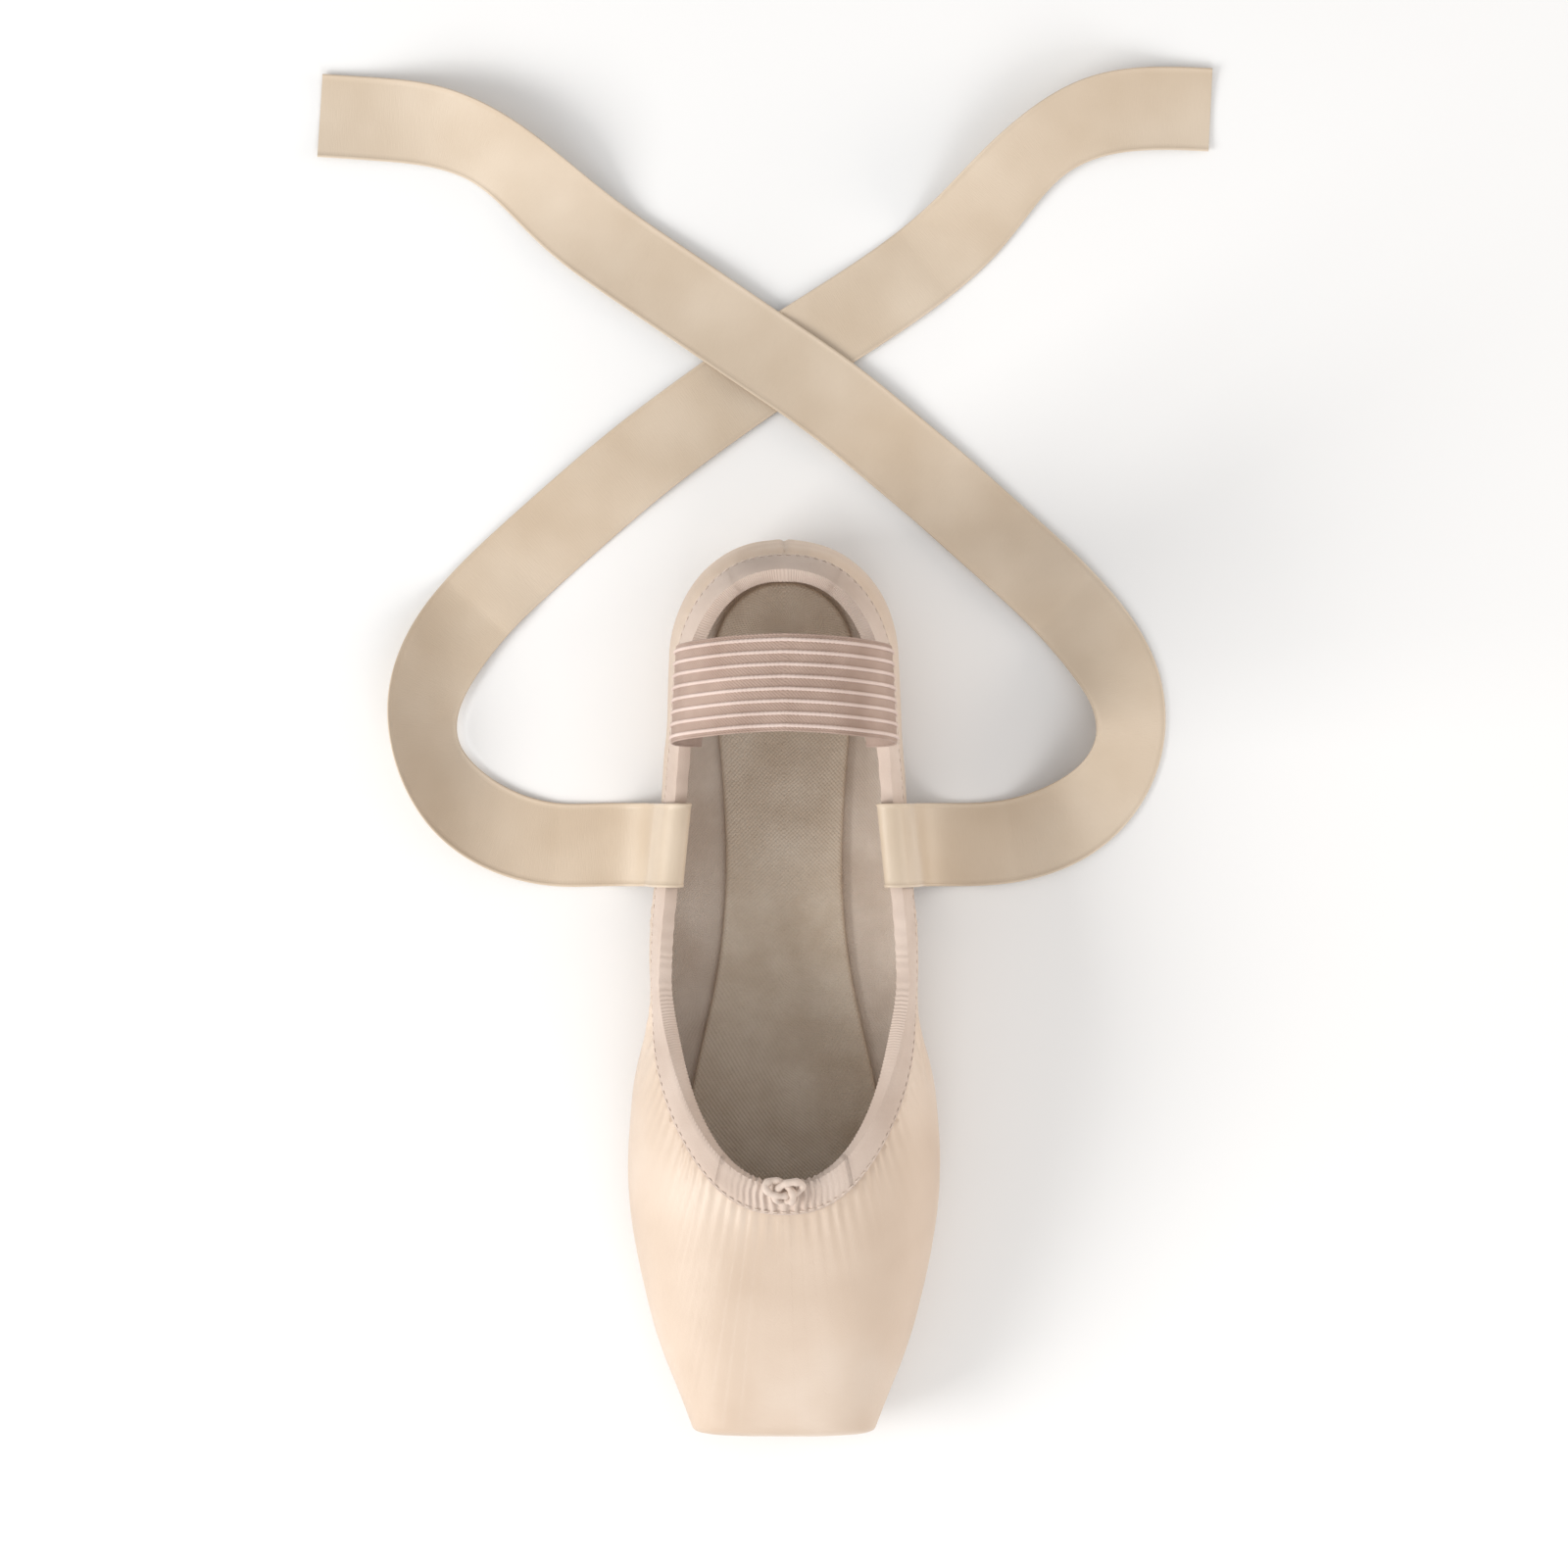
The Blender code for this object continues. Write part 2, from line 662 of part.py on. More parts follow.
def spaced_outline(line, count):
    """An outline again with a set number of points, closer together round its ends."""
    part = np.linspace(0, 1, count)
    eased = part - END_CROWDING * np.sin(2 * math.pi * part) / (2 * math.pi)
    return points_at(line, eased * arc_lengths(line)[-1])


def insole_base(station):
    return skin_base(station, 1) + GAP


def add_soles():
    """The outsole under the upper, and the insole on the upper's margin inside."""
    line = spaced_outline(underside_outline("outsole", OUTSOLE_ENDS), OUTSOLE_POINTS)
    add_plate("outsole", line, OUTSOLE_EDGE, floor_line, LEATHER, 0.6)
    line = spaced_outline(underside_outline("insole", INSOLE_ENDS), INSOLE_POINTS)
    add_plate("insole", line, INSOLE_EDGE, insole_base, CANVAS, 0.8)


def smooth_route(points, fractions):
    """A smooth curve through rows of a table, read at the wanted fractions of its length."""
    points = np.array(points, float)
    along = arc_lengths(points[:, :3])
    lines = [curve_through(along, points[:, k]) for k in range(points.shape[1])]
    fine = np.linspace(0, along[-1], 1200)
    dense = np.column_stack([line(fine) for line in lines])
    lengths = arc_lengths(dense[:, :3])
    wanted = np.asarray(fractions) * lengths[-1]
    return np.column_stack([np.interp(wanted, lengths, line) for line in dense.T])


def ribbon_rows(floor_rows, side):
    """All rows of a ribbon's route, as station, y, height and lean."""
    rows = [(RIBBON_STATION, side * y, height - RIBBON_BED, 0) for y, height in COLLAR_ROUTE]
    return rows + [(x + SHOE_LENGTH / 2, y, lift, lean) for x, y, lift, lean in floor_rows]


def ribbon_route(floor_rows, side):
    """Centres and width directions of a ribbon, from inside the collar to its bare end."""
    rows = ribbon_rows(floor_rows, side)
    lengths = arc_lengths(np.array(rows)[:, :3])
    bend = lengths[len(COLLAR_ROUTE) - 1] / lengths[-1]
    first = np.linspace(0, bend, RIBBON_POINTS[0])
    rest = np.linspace(bend, 1, RIBBON_POINTS[1])[1:]
    parts = np.concatenate([first, rest])
    samples = smooth_route(rows, parts)
    lean = np.radians(samples[:, 3:])
    centres = samples[:, :3].copy()
    centres[:, 2] = np.maximum(centres[:, 2], 0) + RIBBON_BED
    centres[:, 2:] += np.abs(np.sin(lean)) * RIBBON_WIDTH / 2
    tangent = unit(np.gradient(centres, axis=0))
    turn = math.radians(RIBBON_TURN)
    on_collar = np.array((math.cos(turn), side * math.sin(turn), 0))
    level = unit(np.cross(tangent, (0, 0, side)))
    eased = np.interp(parts, (RIBBON_TURN_START * bend, bend), (0, 1))[:, None]
    across = on_collar * (1 - eased) + level * eased
    across = unit(across - tangent * np.sum(across * tangent, axis=1, keepdims=True))
    return centres, across * np.cos(lean) + np.cross(tangent, across) * np.sin(lean)


def add_ribbons():
    """Both ribbons, from the lining over the collar and along the floor."""
    for name, rows, side in (
        ("ribbon_left", FLOOR_ROUTE_LEFT, 1),
        ("ribbon_right", FLOOR_ROUTE_RIGHT, -1),
    ):
        centres, across = ribbon_route(rows, side)
        add_strip(name, centres, across, RIBBON_WIDTH, RIBBON_THICKNESS, RIBBON)


def add_knot():
    """The drawstring's loop where it is knotted at the throat, as a round cord."""
    curve = bpy.data.curves.new("drawstring_knot", "CURVE")
    curve.dimensions = "3D"
    curve.bevel_depth = DRAWSTRING_DIAMETER / 2
    curve.bevel_resolution = 2
    curve.use_fill_caps = True
    points = place(smooth_route(KNOT_ROUTE, np.linspace(0, 1, KNOT_POINTS)))
    spline = curve.splines.new("POLY")
    spline.points.add(len(points) - 1)
    for target, point in zip(spline.points, points):
        target.co = (*point, 1)
    thing = bpy.data.objects.new("drawstring_knot", curve)
    bpy.context.scene.collection.objects.link(thing)
    curve.materials.append(bpy.data.materials["binding"])


def main():
    clear_scene()
    add_upper()
    add_soles()
    add_binding()
    add_elastic()
    add_ribbons()
    add_knot()


main()
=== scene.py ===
"""The looks of a pointe shoe: satin upper, binding, knot, soles, ankle elastic and ribbons.

X runs from heel to toe, Y to the wearer's left and Z up, in metres, with the origin on the
floor under the middle of the shoe. A station is a distance from the back of the heel.
"""

import math

import bmesh
import bpy
import numpy as np
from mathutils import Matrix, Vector, noise


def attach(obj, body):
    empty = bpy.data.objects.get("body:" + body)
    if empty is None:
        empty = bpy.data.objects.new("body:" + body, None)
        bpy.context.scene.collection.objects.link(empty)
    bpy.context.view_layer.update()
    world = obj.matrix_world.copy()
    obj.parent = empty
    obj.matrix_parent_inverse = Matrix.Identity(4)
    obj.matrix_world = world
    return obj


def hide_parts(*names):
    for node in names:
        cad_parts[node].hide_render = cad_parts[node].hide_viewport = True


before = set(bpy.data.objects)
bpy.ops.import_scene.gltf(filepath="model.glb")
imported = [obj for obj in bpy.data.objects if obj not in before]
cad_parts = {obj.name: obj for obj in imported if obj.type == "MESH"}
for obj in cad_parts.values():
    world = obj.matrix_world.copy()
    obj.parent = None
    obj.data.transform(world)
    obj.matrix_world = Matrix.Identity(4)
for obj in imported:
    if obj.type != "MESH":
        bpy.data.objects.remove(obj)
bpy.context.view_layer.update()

# Length and the rounding of both ends
SHOE_LENGTH = 0.235
HEEL_ROUND = 0.030
TOE_ROUND = 0.0032
HEEL_POWER = 2.0
TOE_POWER = 5.0
SECTION_POWER = 2.3

# Sole: thickness, arch, toe spring and the stations where it is flat on the floor
OUTSOLE_THICKNESS = 0.0022
HEEL_FLAT = (0.010, 0.046)
FOREFOOT_FLAT = (0.140, 0.184)
ARCH_RISE = 0.0042
TOE_SPRING = 0.0050
GAP = 0.0003

# One row for each cross-section of the last: its widest half-width and how high that is
SECTION_COLUMNS = ("station", "half_width", "equator", "wall")
SECTIONS = (
    (0.000, 0.0290, 0.0165, 0.0022),
    (0.030, 0.0300, 0.0160, 0.0020),
    (0.060, 0.0316, 0.0160, 0.0016),
    (0.090, 0.0342, 0.0165, 0.0016),
    (0.110, 0.0352, 0.0165, 0.0017),
    (0.124, 0.0353, 0.0160, 0.0020),
    (0.132, 0.0370, 0.0155, 0.0024),
    (0.141, 0.0392, 0.0155, 0.0027),
    (0.151, 0.0404, 0.0155, 0.0029),
    (0.164, 0.0409, 0.0155, 0.0030),
    (0.177, 0.0401, 0.0155, 0.0031),
    (0.192, 0.0375, 0.0160, 0.0033),
    (0.208, 0.0335, 0.0170, 0.0035),
    (0.223, 0.0278, 0.0182, 0.0038),
    (0.235, 0.0232, 0.0194, 0.0040),
)

# The topline: the edge of the upper round the foot, and its height from the floor
TOPLINE_BACK = 0.0085
TOPLINE_FRONT = 0.1687
TOPLINE_BACK_ROUND = 0.0315
TOPLINE_FRONT_ROUND = 0.0537
TOPLINE_FRONT_POWER = 1.7
TOPLINE_COLUMNS = ("station", "half_opening", "height")
TOPLINE = (
    (0.0085, 0.0252, 0.0535),
    (0.0200, 0.0254, 0.0513),
    (0.0400, 0.0260, 0.0460),
    (0.0600, 0.0273, 0.0410),
    (0.0800, 0.0291, 0.0390),
    (0.1000, 0.0312, 0.0393),
    (0.1150, 0.0320, 0.0410),
    (0.1300, 0.0320, 0.0445),
    (0.1420, 0.0320, 0.0477),
    (0.1550, 0.0320, 0.0508),
    (0.1687, 0.0320, 0.0528),
)

# The crown of the vamp from the throat to the platform
VAMP_COLUMNS = ("station", "crown")
VAMP = (
    (0.1687, 0.0528),
    (0.1850, 0.0483),
    (0.2000, 0.0438),
    (0.2150, 0.0391),
    (0.2350, 0.0322),
)

# Half-widths of the flat underside, of the hole in it, of the outsole and the insole
UNDERSIDE_COLUMNS = ("station", "flat", "hole", "outsole", "insole")
UNDERSIDE = (
    (0.000, 0.0180, 0.0110, 0.0165, 0.0168),
    (0.030, 0.0195, 0.0122, 0.0175, 0.0184),
    (0.060, 0.0175, 0.0095, 0.0145, 0.0164),
    (0.092, 0.0165, 0.0078, 0.0125, 0.0154),
    (0.120, 0.0200, 0.0110, 0.0165, 0.0188),
    (0.145, 0.0255, 0.0175, 0.0230, 0.0243),
    (0.168, 0.0278, 0.0200, 0.0255, 0.0266),
    (0.190, 0.0262, 0.0185, 0.0240, 0.0250),
    (0.212, 0.0215, 0.0150, 0.0200, 0.0202),
    (0.235, 0.0170, 0.0120, 0.0165, 0.0156),
)
FLAT_ENDS = (0.0085, 0.2325)
HOLE_ENDS = (0.0150, 0.2050)
OUTSOLE_ENDS = (0.0090, 0.2110)
INSOLE_ENDS = (0.0110, 0.2215)
UNDERSIDE_ROUNDS = (0.020, 0.018)
UNDERSIDE_POWERS = (2.0, 2.4)
UNDERSIDE_SIDE_POWER = 2.2
INSOLE_THICKNESS = 0.0022

# How square the wall turns in to the flat, along the shoe and at the platform
LOWER_POWER = 2.2
LOWER_TOE_POWER = 3.6
LOWER_TOE_ZONE = (0.205, 0.232)

# How finely the shell is divided: columns in each zone of half the outline, and rows
COLUMN_ZONES = ((0.030, 44), (0.116, 80), (0.190, 78), (0.231, 92))
PLATFORM_COLUMNS = 58
MATCHED_STATIONS = (0.045, 0.108)
OUTER_ROWS = {"margin": 9, "lower": 14, "wall": 15, "roof": 22}
INNER_ROWS = {"margin": 3, "lower": 6, "wall": 8, "roof": 12}
OUTLINE_STEPS = 240
ROOF_STEPS = 260
SHOULDER_SHARE = 0.5

# Creases in the satin: from one place to another, each as a distance round the outline
# from the back of the heel and a distance up the wall from its widest line. Depths are
# troughs, and a negative one is a ridge. Side 1 is the wearer's left.
CREASE_COLUMNS = ("side", "round_a", "up_a", "round_b", "up_b", "width", "depth")
CREASES = (
    (-1, 0.1350, 0.0225, 0.1560, 0.0190, 0.0028, 0.0013),
    (-1, 0.1400, 0.0150, 0.1620, 0.0120, 0.0035, -0.0005),
    (-1, 0.1280, 0.0120, 0.1480, 0.0040, 0.0040, 0.0006),
    (1, 0.1360, 0.0220, 0.1600, 0.0200, 0.0020, 0.0009),
    (1, 0.1390, 0.0165, 0.1640, 0.0150, 0.0020, 0.0007),
    (1, 0.1380, 0.0195, 0.1620, 0.0175, 0.0018, -0.0006),
    (1, 0.1290, 0.0110, 0.1500, 0.0030, 0.0040, 0.0005),
    (1, 0.0880, 0.0150, 0.1180, -0.0010, 0.0045, 0.0006),
    (1, 0.0720, 0.0130, 0.1000, -0.0020, 0.0050, 0.0005),
    (1, 0.0500, 0.0160, 0.0760, 0.0010, 0.0050, 0.0004),
    (-1, 0.0840, 0.0140, 0.1140, -0.0020, 0.0045, 0.0006),
    (-1, 0.0660, 0.0150, 0.0960, 0.0000, 0.0050, 0.0005),
    (-1, 0.0460, 0.0150, 0.0700, 0.0000, 0.0050, 0.0004),
    (1, -0.0100, 0.0190, 0.0140, 0.0175, 0.0030, 0.0003),
    (-1, -0.0100, 0.0120, 0.0160, 0.0105, 0.0032, 0.0003),
)

# Seams: the distance round the outline at the topline and at the sole, and the groove
SIDE_SEAM = (0.1200, 0.1130)
SEAM_WIDTH = 0.00045
SEAM_DEPTH = 0.00040

# Pleats under the toe, gathers along the sole, and puckers beside the binding
PLEAT_PITCH = 0.0043
PLEAT_DEPTH = 0.00085
PLEAT_START = 0.185
PLEAT_FULL = 0.212
GATHER_PITCH = 0.0031
GATHER_DEPTH = 0.00022
BEAD_DEPTH = 0.0087
BEAD_WIDTH = 0.0008
BEAD_RISE = 0.00040
PUCKER_PITCH = 0.0064
PUCKER_RISE = 0.00016
PUCKER_FADE = 0.0065
SWELLS = ((0.016, 0.00016), (0.0065, 0.00005))

# The binding: depths of its two legs under the topline, its ribs and its gathers
BINDING_OUTER_DEPTH = 0.0074
BINDING_INNER_DEPTH = 0.0052
BINDING_STEP = 0.00021
BINDING_ROWS = {"outer": 17, "inner": 9, "under": 4}
TAPE_GAP = 0.0003
TAPE_LIFT = 0.0013
TAPE_EDGE = 0.0006
RIB_PITCH = 0.00125
RIB_ANGLE = 38
RIB_HEIGHT = 0.00010
KNOT_GATHERS = {"pitch": 0.0019, "reach": 0.0085, "height": 0.00042}
STITCH_DEPTH = 0.0064
STITCH_PITCH = 0.0024
STITCH_LENGTH = 0.0017
THREAD_RADIUS = 0.00019
STITCH_GROOVE = 0.00028

# The elastic: station, y and height along half its arch, from its sewn end to its crown
ELASTIC_WIDTH = 0.025
ELASTIC_TURN = 6.5
ELASTIC_ARCH = (
    (0.0420, 0.0216, 0.0290),
    (0.0420, 0.0210, 0.0380),
    (0.0420, 0.0206, 0.0460),
    (0.0420, 0.0233, 0.0560),
    (0.0415, 0.0278, 0.0700),
    (0.0405, 0.0270, 0.0840),
    (0.0395, 0.0208, 0.0955),
    (0.0385, 0.0112, 0.1020),
    (0.0380, 0.0000, 0.1040),
)
ELASTIC_STEP = 0.00024
NET_THICKNESS = 0.00055
ELASTIC_CORDS = 8
ELASTIC_CORD_RADIUS = 0.00052
ELASTIC_KNUCKLE = 0.00115
ELASTIC_SEWN = 0.013

# The ribbons: width, station, and how far their place on the collar is turned in plan
RIBBON_WIDTH = 0.022
RIBBON_BED = 0.00045
RIBBON_STATION = 0.080
RIBBON_TURN = 5.7
RIBBON_TURN_START = 0.75
RIBBON_STEP = 0.0009
RIBBON_HALF_THICKNESS = 0.00015
SELVEDGE_WIDTH = 0.0009
SELVEDGE_HALF_THICKNESS = 0.00030
RIBBON_SEWN = 0.0165

# Distance out and height, from the sewn end inside, over the collar and down the wall
COLLAR_ROUTE = (
    (0.0306, 0.0195),
    (0.0303, 0.0240),
    (0.0292, 0.0285),
    (0.0276, 0.0322),
    (0.0263, 0.0356),
    (0.0254, 0.0388),
    (0.0257, 0.0411),
    (0.0272, 0.0422),
    (0.0293, 0.0422),
    (0.0311, 0.0411),
    (0.0323, 0.0384),
    (0.0334, 0.0345),
    (0.0341, 0.0298),
    (0.0346, 0.0230),
    (0.0349, 0.0155),
    (0.0355, 0.0094),
    (0.0374, 0.0044),
    (0.0412, 0.0015),
    (0.0470, 0.0005),
)

# Along the floor: x, y, lift over the floor and lean of the ribbon's width, in degrees
FLOOR_ROUTE_LEFT = (
    (-0.0385, 0.0600, 0.0000, 0),
    (-0.0430, 0.0735, 0.0000, 10),
    (-0.0515, 0.0845, 0.0000, 26),
    (-0.0635, 0.0908, 0.0000, 34),
    (-0.0770, 0.0902, 0.0000, 26),
    (-0.0895, 0.0840, 0.0000, 10),
    (-0.1010, 0.0745, 0.0000, 0),
    (-0.1115, 0.0637, 0.0000, 0),
    (-0.1215, 0.0525, 0.0000, 0),
    (-0.1315, 0.0413, 0.0000, 0),
    (-0.1410, 0.0300, 0.0004, 0),
    (-0.1505, 0.0185, 0.0013, 0),
    (-0.1595, 0.0065, 0.0016, 0),
    (-0.1680, -0.0060, 0.0016, 0),
    (-0.1765, -0.0185, 0.0013, 0),
    (-0.1850, -0.0310, 0.0004, 0),
    (-0.1935, -0.0435, 0.0000, 0),
    (-0.2025, -0.0555, 0.0000, -10),
    (-0.2125, -0.0667, 0.0000, -24),
    (-0.2215, -0.0787, 0.0000, -28),
    (-0.2270, -0.0927, 0.0000, -16),
    (-0.2290, -0.1077, 0.0000, -4),
    (-0.2300, -0.1225, 0.0000, 0),
)
FLOOR_ROUTE_RIGHT = (
    (-0.0375, -0.0600, 0.0000, 0),
    (-0.0410, -0.0740, 0.0000, 8),
    (-0.0490, -0.0860, 0.0000, 24),
    (-0.0605, -0.0935, 0.0000, 38),
    (-0.0745, -0.0950, 0.0000, 32),
    (-0.0880, -0.0900, 0.0000, 14),
    (-0.1000, -0.0812, 0.0000, 0),
    (-0.1107, -0.0705, 0.0000, 0),
    (-0.1207, -0.0594, 0.0000, 0),
    (-0.1305, -0.0482, 0.0000, 0),
    (-0.1400, -0.0367, 0.0000, 0),
    (-0.1490, -0.0248, 0.0000, 0),
    (-0.1577, -0.0126, 0.0000, 0),
    (-0.1660, -0.0002, 0.0000, 0),
    (-0.1740, 0.0124, 0.0000, 0),
    (-0.1822, 0.0250, 0.0000, 0),
    (-0.1910, 0.0372, 0.0000, 0),
    (-0.2010, 0.0484, 0.0000, 10),
    (-0.2122, 0.0583, 0.0000, 24),
    (-0.2225, 0.0692, 0.0000, 30),
    (-0.2295, 0.0826, 0.0000, 18),
    (-0.2318, 0.0976, 0.0000, 4),
    (-0.2315, 0.1126, 0.0000, 0),
)

# The drawstring's knot: a flattened overhand knot, and where it sits
KNOT_PLACE = (0.0520, 0.0, 0.0561)
KNOT_RADIUS = 0.00095
KNOT_SPREAD = (0.00125, 0.00175, 0.00085)
KNOT_TILT = 12

# The camera: width of its view at the shoe, the middle of that view, and its distance
VIEW_WIDTH = 0.410
VIEW_CENTRE = (-0.0535, 0.0)
VIEW_HEIGHT = 0.030
CAMERA_DISTANCE = 3.0
SENSOR_WIDTH = 36.0


def curve_through(stations, values):
    """The natural cubic curve through a table's values, as a function of the station."""
    xs = np.array(stations, float)
    ys = np.array(values, float)
    gaps = np.diff(xs)
    slopes = np.diff(ys) / gaps
    system = np.eye(len(xs))
    turns = np.zeros(len(xs))
    for i in range(1, len(xs) - 1):
        system[i, i - 1 : i + 2] = gaps[i - 1], 2 * (gaps[i - 1] + gaps[i]), gaps[i]
        turns[i] = 6 * (slopes[i] - slopes[i - 1])
    bend = np.linalg.solve(system, turns)

    def at(station):
        x = np.clip(station, xs[0], xs[-1])
        i = np.clip(np.searchsorted(xs, x) - 1, 0, len(gaps) - 1)
        step = x - xs[i]
        slope = slopes[i] - gaps[i] * (2 * bend[i] + bend[i + 1]) / 6
        change = (bend[i + 1] - bend[i]) / (6 * gaps[i])
        return ys[i] + step * slope + step**2 * bend[i] / 2 + step**3 * change

    return at


def column(table, names, name):
    """A smooth curve through one named column of a table."""
    rows = np.array(table)
    return curve_through(rows[:, 0], rows[:, names.index(name)])


half_width = column(SECTIONS, SECTION_COLUMNS, "half_width")
equator = column(SECTIONS, SECTION_COLUMNS, "equator")
wall = column(SECTIONS, SECTION_COLUMNS, "wall")
half_opening = column(TOPLINE, TOPLINE_COLUMNS, "half_opening")
topline_height = column(TOPLINE, TOPLINE_COLUMNS, "height")
vamp_crown = column(VAMP, VAMP_COLUMNS, "crown")


def smooth(value, start, end):
    """A soft step from 0 at the start to 1 at the end."""
    part = np.clip((value - start) / (end - start), 0, 1)
    return part * part * (3 - 2 * part)


def bell(value, width):
    """A soft hump of height 1 at 0."""
    return np.exp(-((value / width) ** 2))


def unit(vectors):
    """Each vector of an array at length one."""
    return vectors / np.maximum(np.linalg.norm(vectors, axis=-1, keepdims=True), 1e-12)


def arc_lengths(line):
    """Distances along a line's points, or along each of several lines."""
    steps = np.linalg.norm(np.diff(line, axis=-2), axis=-1)
    start = np.zeros(steps.shape[:-1] + (1,))
    return np.concatenate([start, np.cumsum(steps, axis=-1)], axis=-1)


def points_at(line, arcs):
    """Points of a polyline at the given lengths along it."""
    along = arc_lengths(line)
    return np.column_stack([np.interp(arcs, along, line[:, k]) for k in range(line.shape[1])])


def floor_line(station):
    """Height of the sole's lower face: flat at heel and forefoot, with an arch and a toe spring."""
    span = FOREFOOT_FLAT[0] - HEEL_FLAT[1]
    along = np.clip((station - HEEL_FLAT[1]) / span, 0, 1)
    arch = ARCH_RISE * np.sin(math.pi * along) ** 2
    front = np.clip((station - FOREFOOT_FLAT[1]) / (SHOE_LENGTH - FOREFOOT_FLAT[1]), 0, 1)
    return arch + TOE_SPRING * front**1.8


def underside(station):
    """Height of the upper's lower face, on top of the outsole."""
    return floor_line(station) + OUTSOLE_THICKNESS + GAP


def skin_base(station, inset):
    """Height of the flat part of the upper's outer skin, or of its inner one."""
    return underside(station) + inset * wall(station)


def half_outline(half, ends, rounds, powers, side_power=SECTION_POWER):
    """Half of a closed outline in plan, from its back end to its front end."""
    quarter = np.linspace(0, math.pi / 2, OUTLINE_STEPS)
    back_v = np.cos(quarter) ** (2 / powers[0])
    back_u = ends[0] + rounds[0] * (1 - back_v)
    back_y = half(back_u) * np.sin(quarter) ** (2 / side_power)
    front_v = np.sin(quarter) ** (2 / powers[1])
    front_u = ends[1] - rounds[1] * (1 - front_v)
    front_y = half(front_u) * np.cos(quarter) ** (2 / side_power)
    side_u = np.linspace(ends[0] + rounds[0], ends[1] - rounds[1], OUTLINE_STEPS)[1:-1]
    u = np.concatenate([back_u, side_u, front_u])
    y = np.concatenate([back_y, half(side_u), front_y])
    y[0] = y[-1] = 0
    return np.column_stack([u, y])


def underside_outline(name, ends):
    half = column(UNDERSIDE, UNDERSIDE_COLUMNS, name)
    return half_outline(half, ends, UNDERSIDE_ROUNDS, UNDERSIDE_POWERS, UNDERSIDE_SIDE_POWER)


topline = half_outline(
    half_opening,
    (TOPLINE_BACK, TOPLINE_FRONT),
    (TOPLINE_BACK_ROUND, TOPLINE_FRONT_ROUND),
    (HEEL_POWER, TOPLINE_FRONT_POWER),
)


def outline(inset):
    """The plan outline of the outer form, or of the inner one with an inset of 1."""
    back = inset * wall(0)
    front = SHOE_LENGTH - inset * wall(SHOE_LENGTH)
    return half_outline(
        lambda u: half_width(u) - inset * wall(u),
        (back, front),
        (HEEL_ROUND - back, TOE_ROUND),
        (HEEL_POWER, TOE_POWER),
    )


def inside(station, y, inset):
    """How far a plan point is inside the outline: 0 on it, 1 on the middle line."""
    heel = np.clip((HEEL_ROUND - station) / (HEEL_ROUND - inset * wall(0)), 0, 1)
    toe_start = SHOE_LENGTH - TOE_ROUND - inset * wall(SHOE_LENGTH)
    toe = np.clip((station - toe_start) / TOE_ROUND, 0, 1)
    across = np.abs(y) / (half_width(station) - inset * wall(station))
    return 1 - across**SECTION_POWER - heel**HEEL_POWER - toe**TOE_POWER


def crown_rise(station):
    """Height of the closed form over its equator: it passes through the topline and the vamp."""
    u = np.clip(station, TOPLINE_BACK, TOPLINE_FRONT)
    depth = inside(u, np.interp(u, topline[:, 0], topline[:, 1]), 0)
    through_topline = (topline_height(u) - equator(u)) / depth ** (1 / SECTION_POWER)
    return np.where(station < TOPLINE_FRONT, through_topline, vamp_crown(station) - equator(station))


def height_over(station, y, inset):
    """Height of the upper half of the form over a plan point."""
    depth = np.clip(inside(station, y, inset), 0, 1)
    rise = crown_rise(station) - inset * wall(station)
    return equator(station) + rise * depth ** (1 / SECTION_POWER)


def column_arcs(line):
    """Lengths along half an outline at which the shell's columns stand."""
    along = arc_lengths(line)
    stops = [0.0]
    for station, count in COLUMN_ZONES:
        end = np.interp(station, line[:, 0], along)
        stops += list(np.linspace(stops[-1], end, count + 1)[1:])
    stops += list(np.linspace(stops[-1], along[-1], PLATFORM_COLUMNS + 1)[1:])
    return np.array(stops)


def matched(line, guide, arcs):
    """Points of one outline opposite the points at the given lengths of another."""
    own = arc_lengths(line)
    other = arc_lengths(guide)
    keys = [0.0] + [np.interp(s, guide[:, 0], other) for s in MATCHED_STATIONS] + [other[-1]]
    values = [0.0] + [np.interp(s, line[:, 0], own) for s in MATCHED_STATIONS] + [own[-1]]
    return points_at(line, np.interp(arcs, keys, values))


def roof_lines(starts, ends, inset):
    """The form over straight plan lines from the outline to the topline, finely divided."""
    part = np.linspace(0, 1, ROOF_STEPS)[:, None] ** 4
    plan = starts[:, None] + (ends - starts)[:, None] * part
    height = height_over(plan[..., 0], plan[..., 1], inset)
    return np.concatenate([plan, height[..., None]], axis=2)


def whole_ring(half):
    """The half grid and its mirror image as one closed ring of columns."""
    mirror = half[-2:0:-1] * (1, -1, 1)
    return np.concatenate([half, mirror])


def outward_normals(ring):
    """Unit normals of a ring's grid, pointing away from the foot."""
    along = np.roll(ring, -1, axis=0) - np.roll(ring, 1, axis=0)
    up = np.gradient(ring, axis=1)
    return unit(np.cross(up, along))


def inner_tops(sides, tops):
    """Where the inner skin meets the rim: a wall's thickness in from the topline."""
    edge = roof_lines(sides, tops, 0)[:, -2:]
    normals = outward_normals(whole_ring(edge))[: len(tops), -1]
    rim = tops - normals[:, :2] * wall(tops[:, 0])[:, None]
    rim[0, 1] = rim[-1, 1] = 0
    return rim


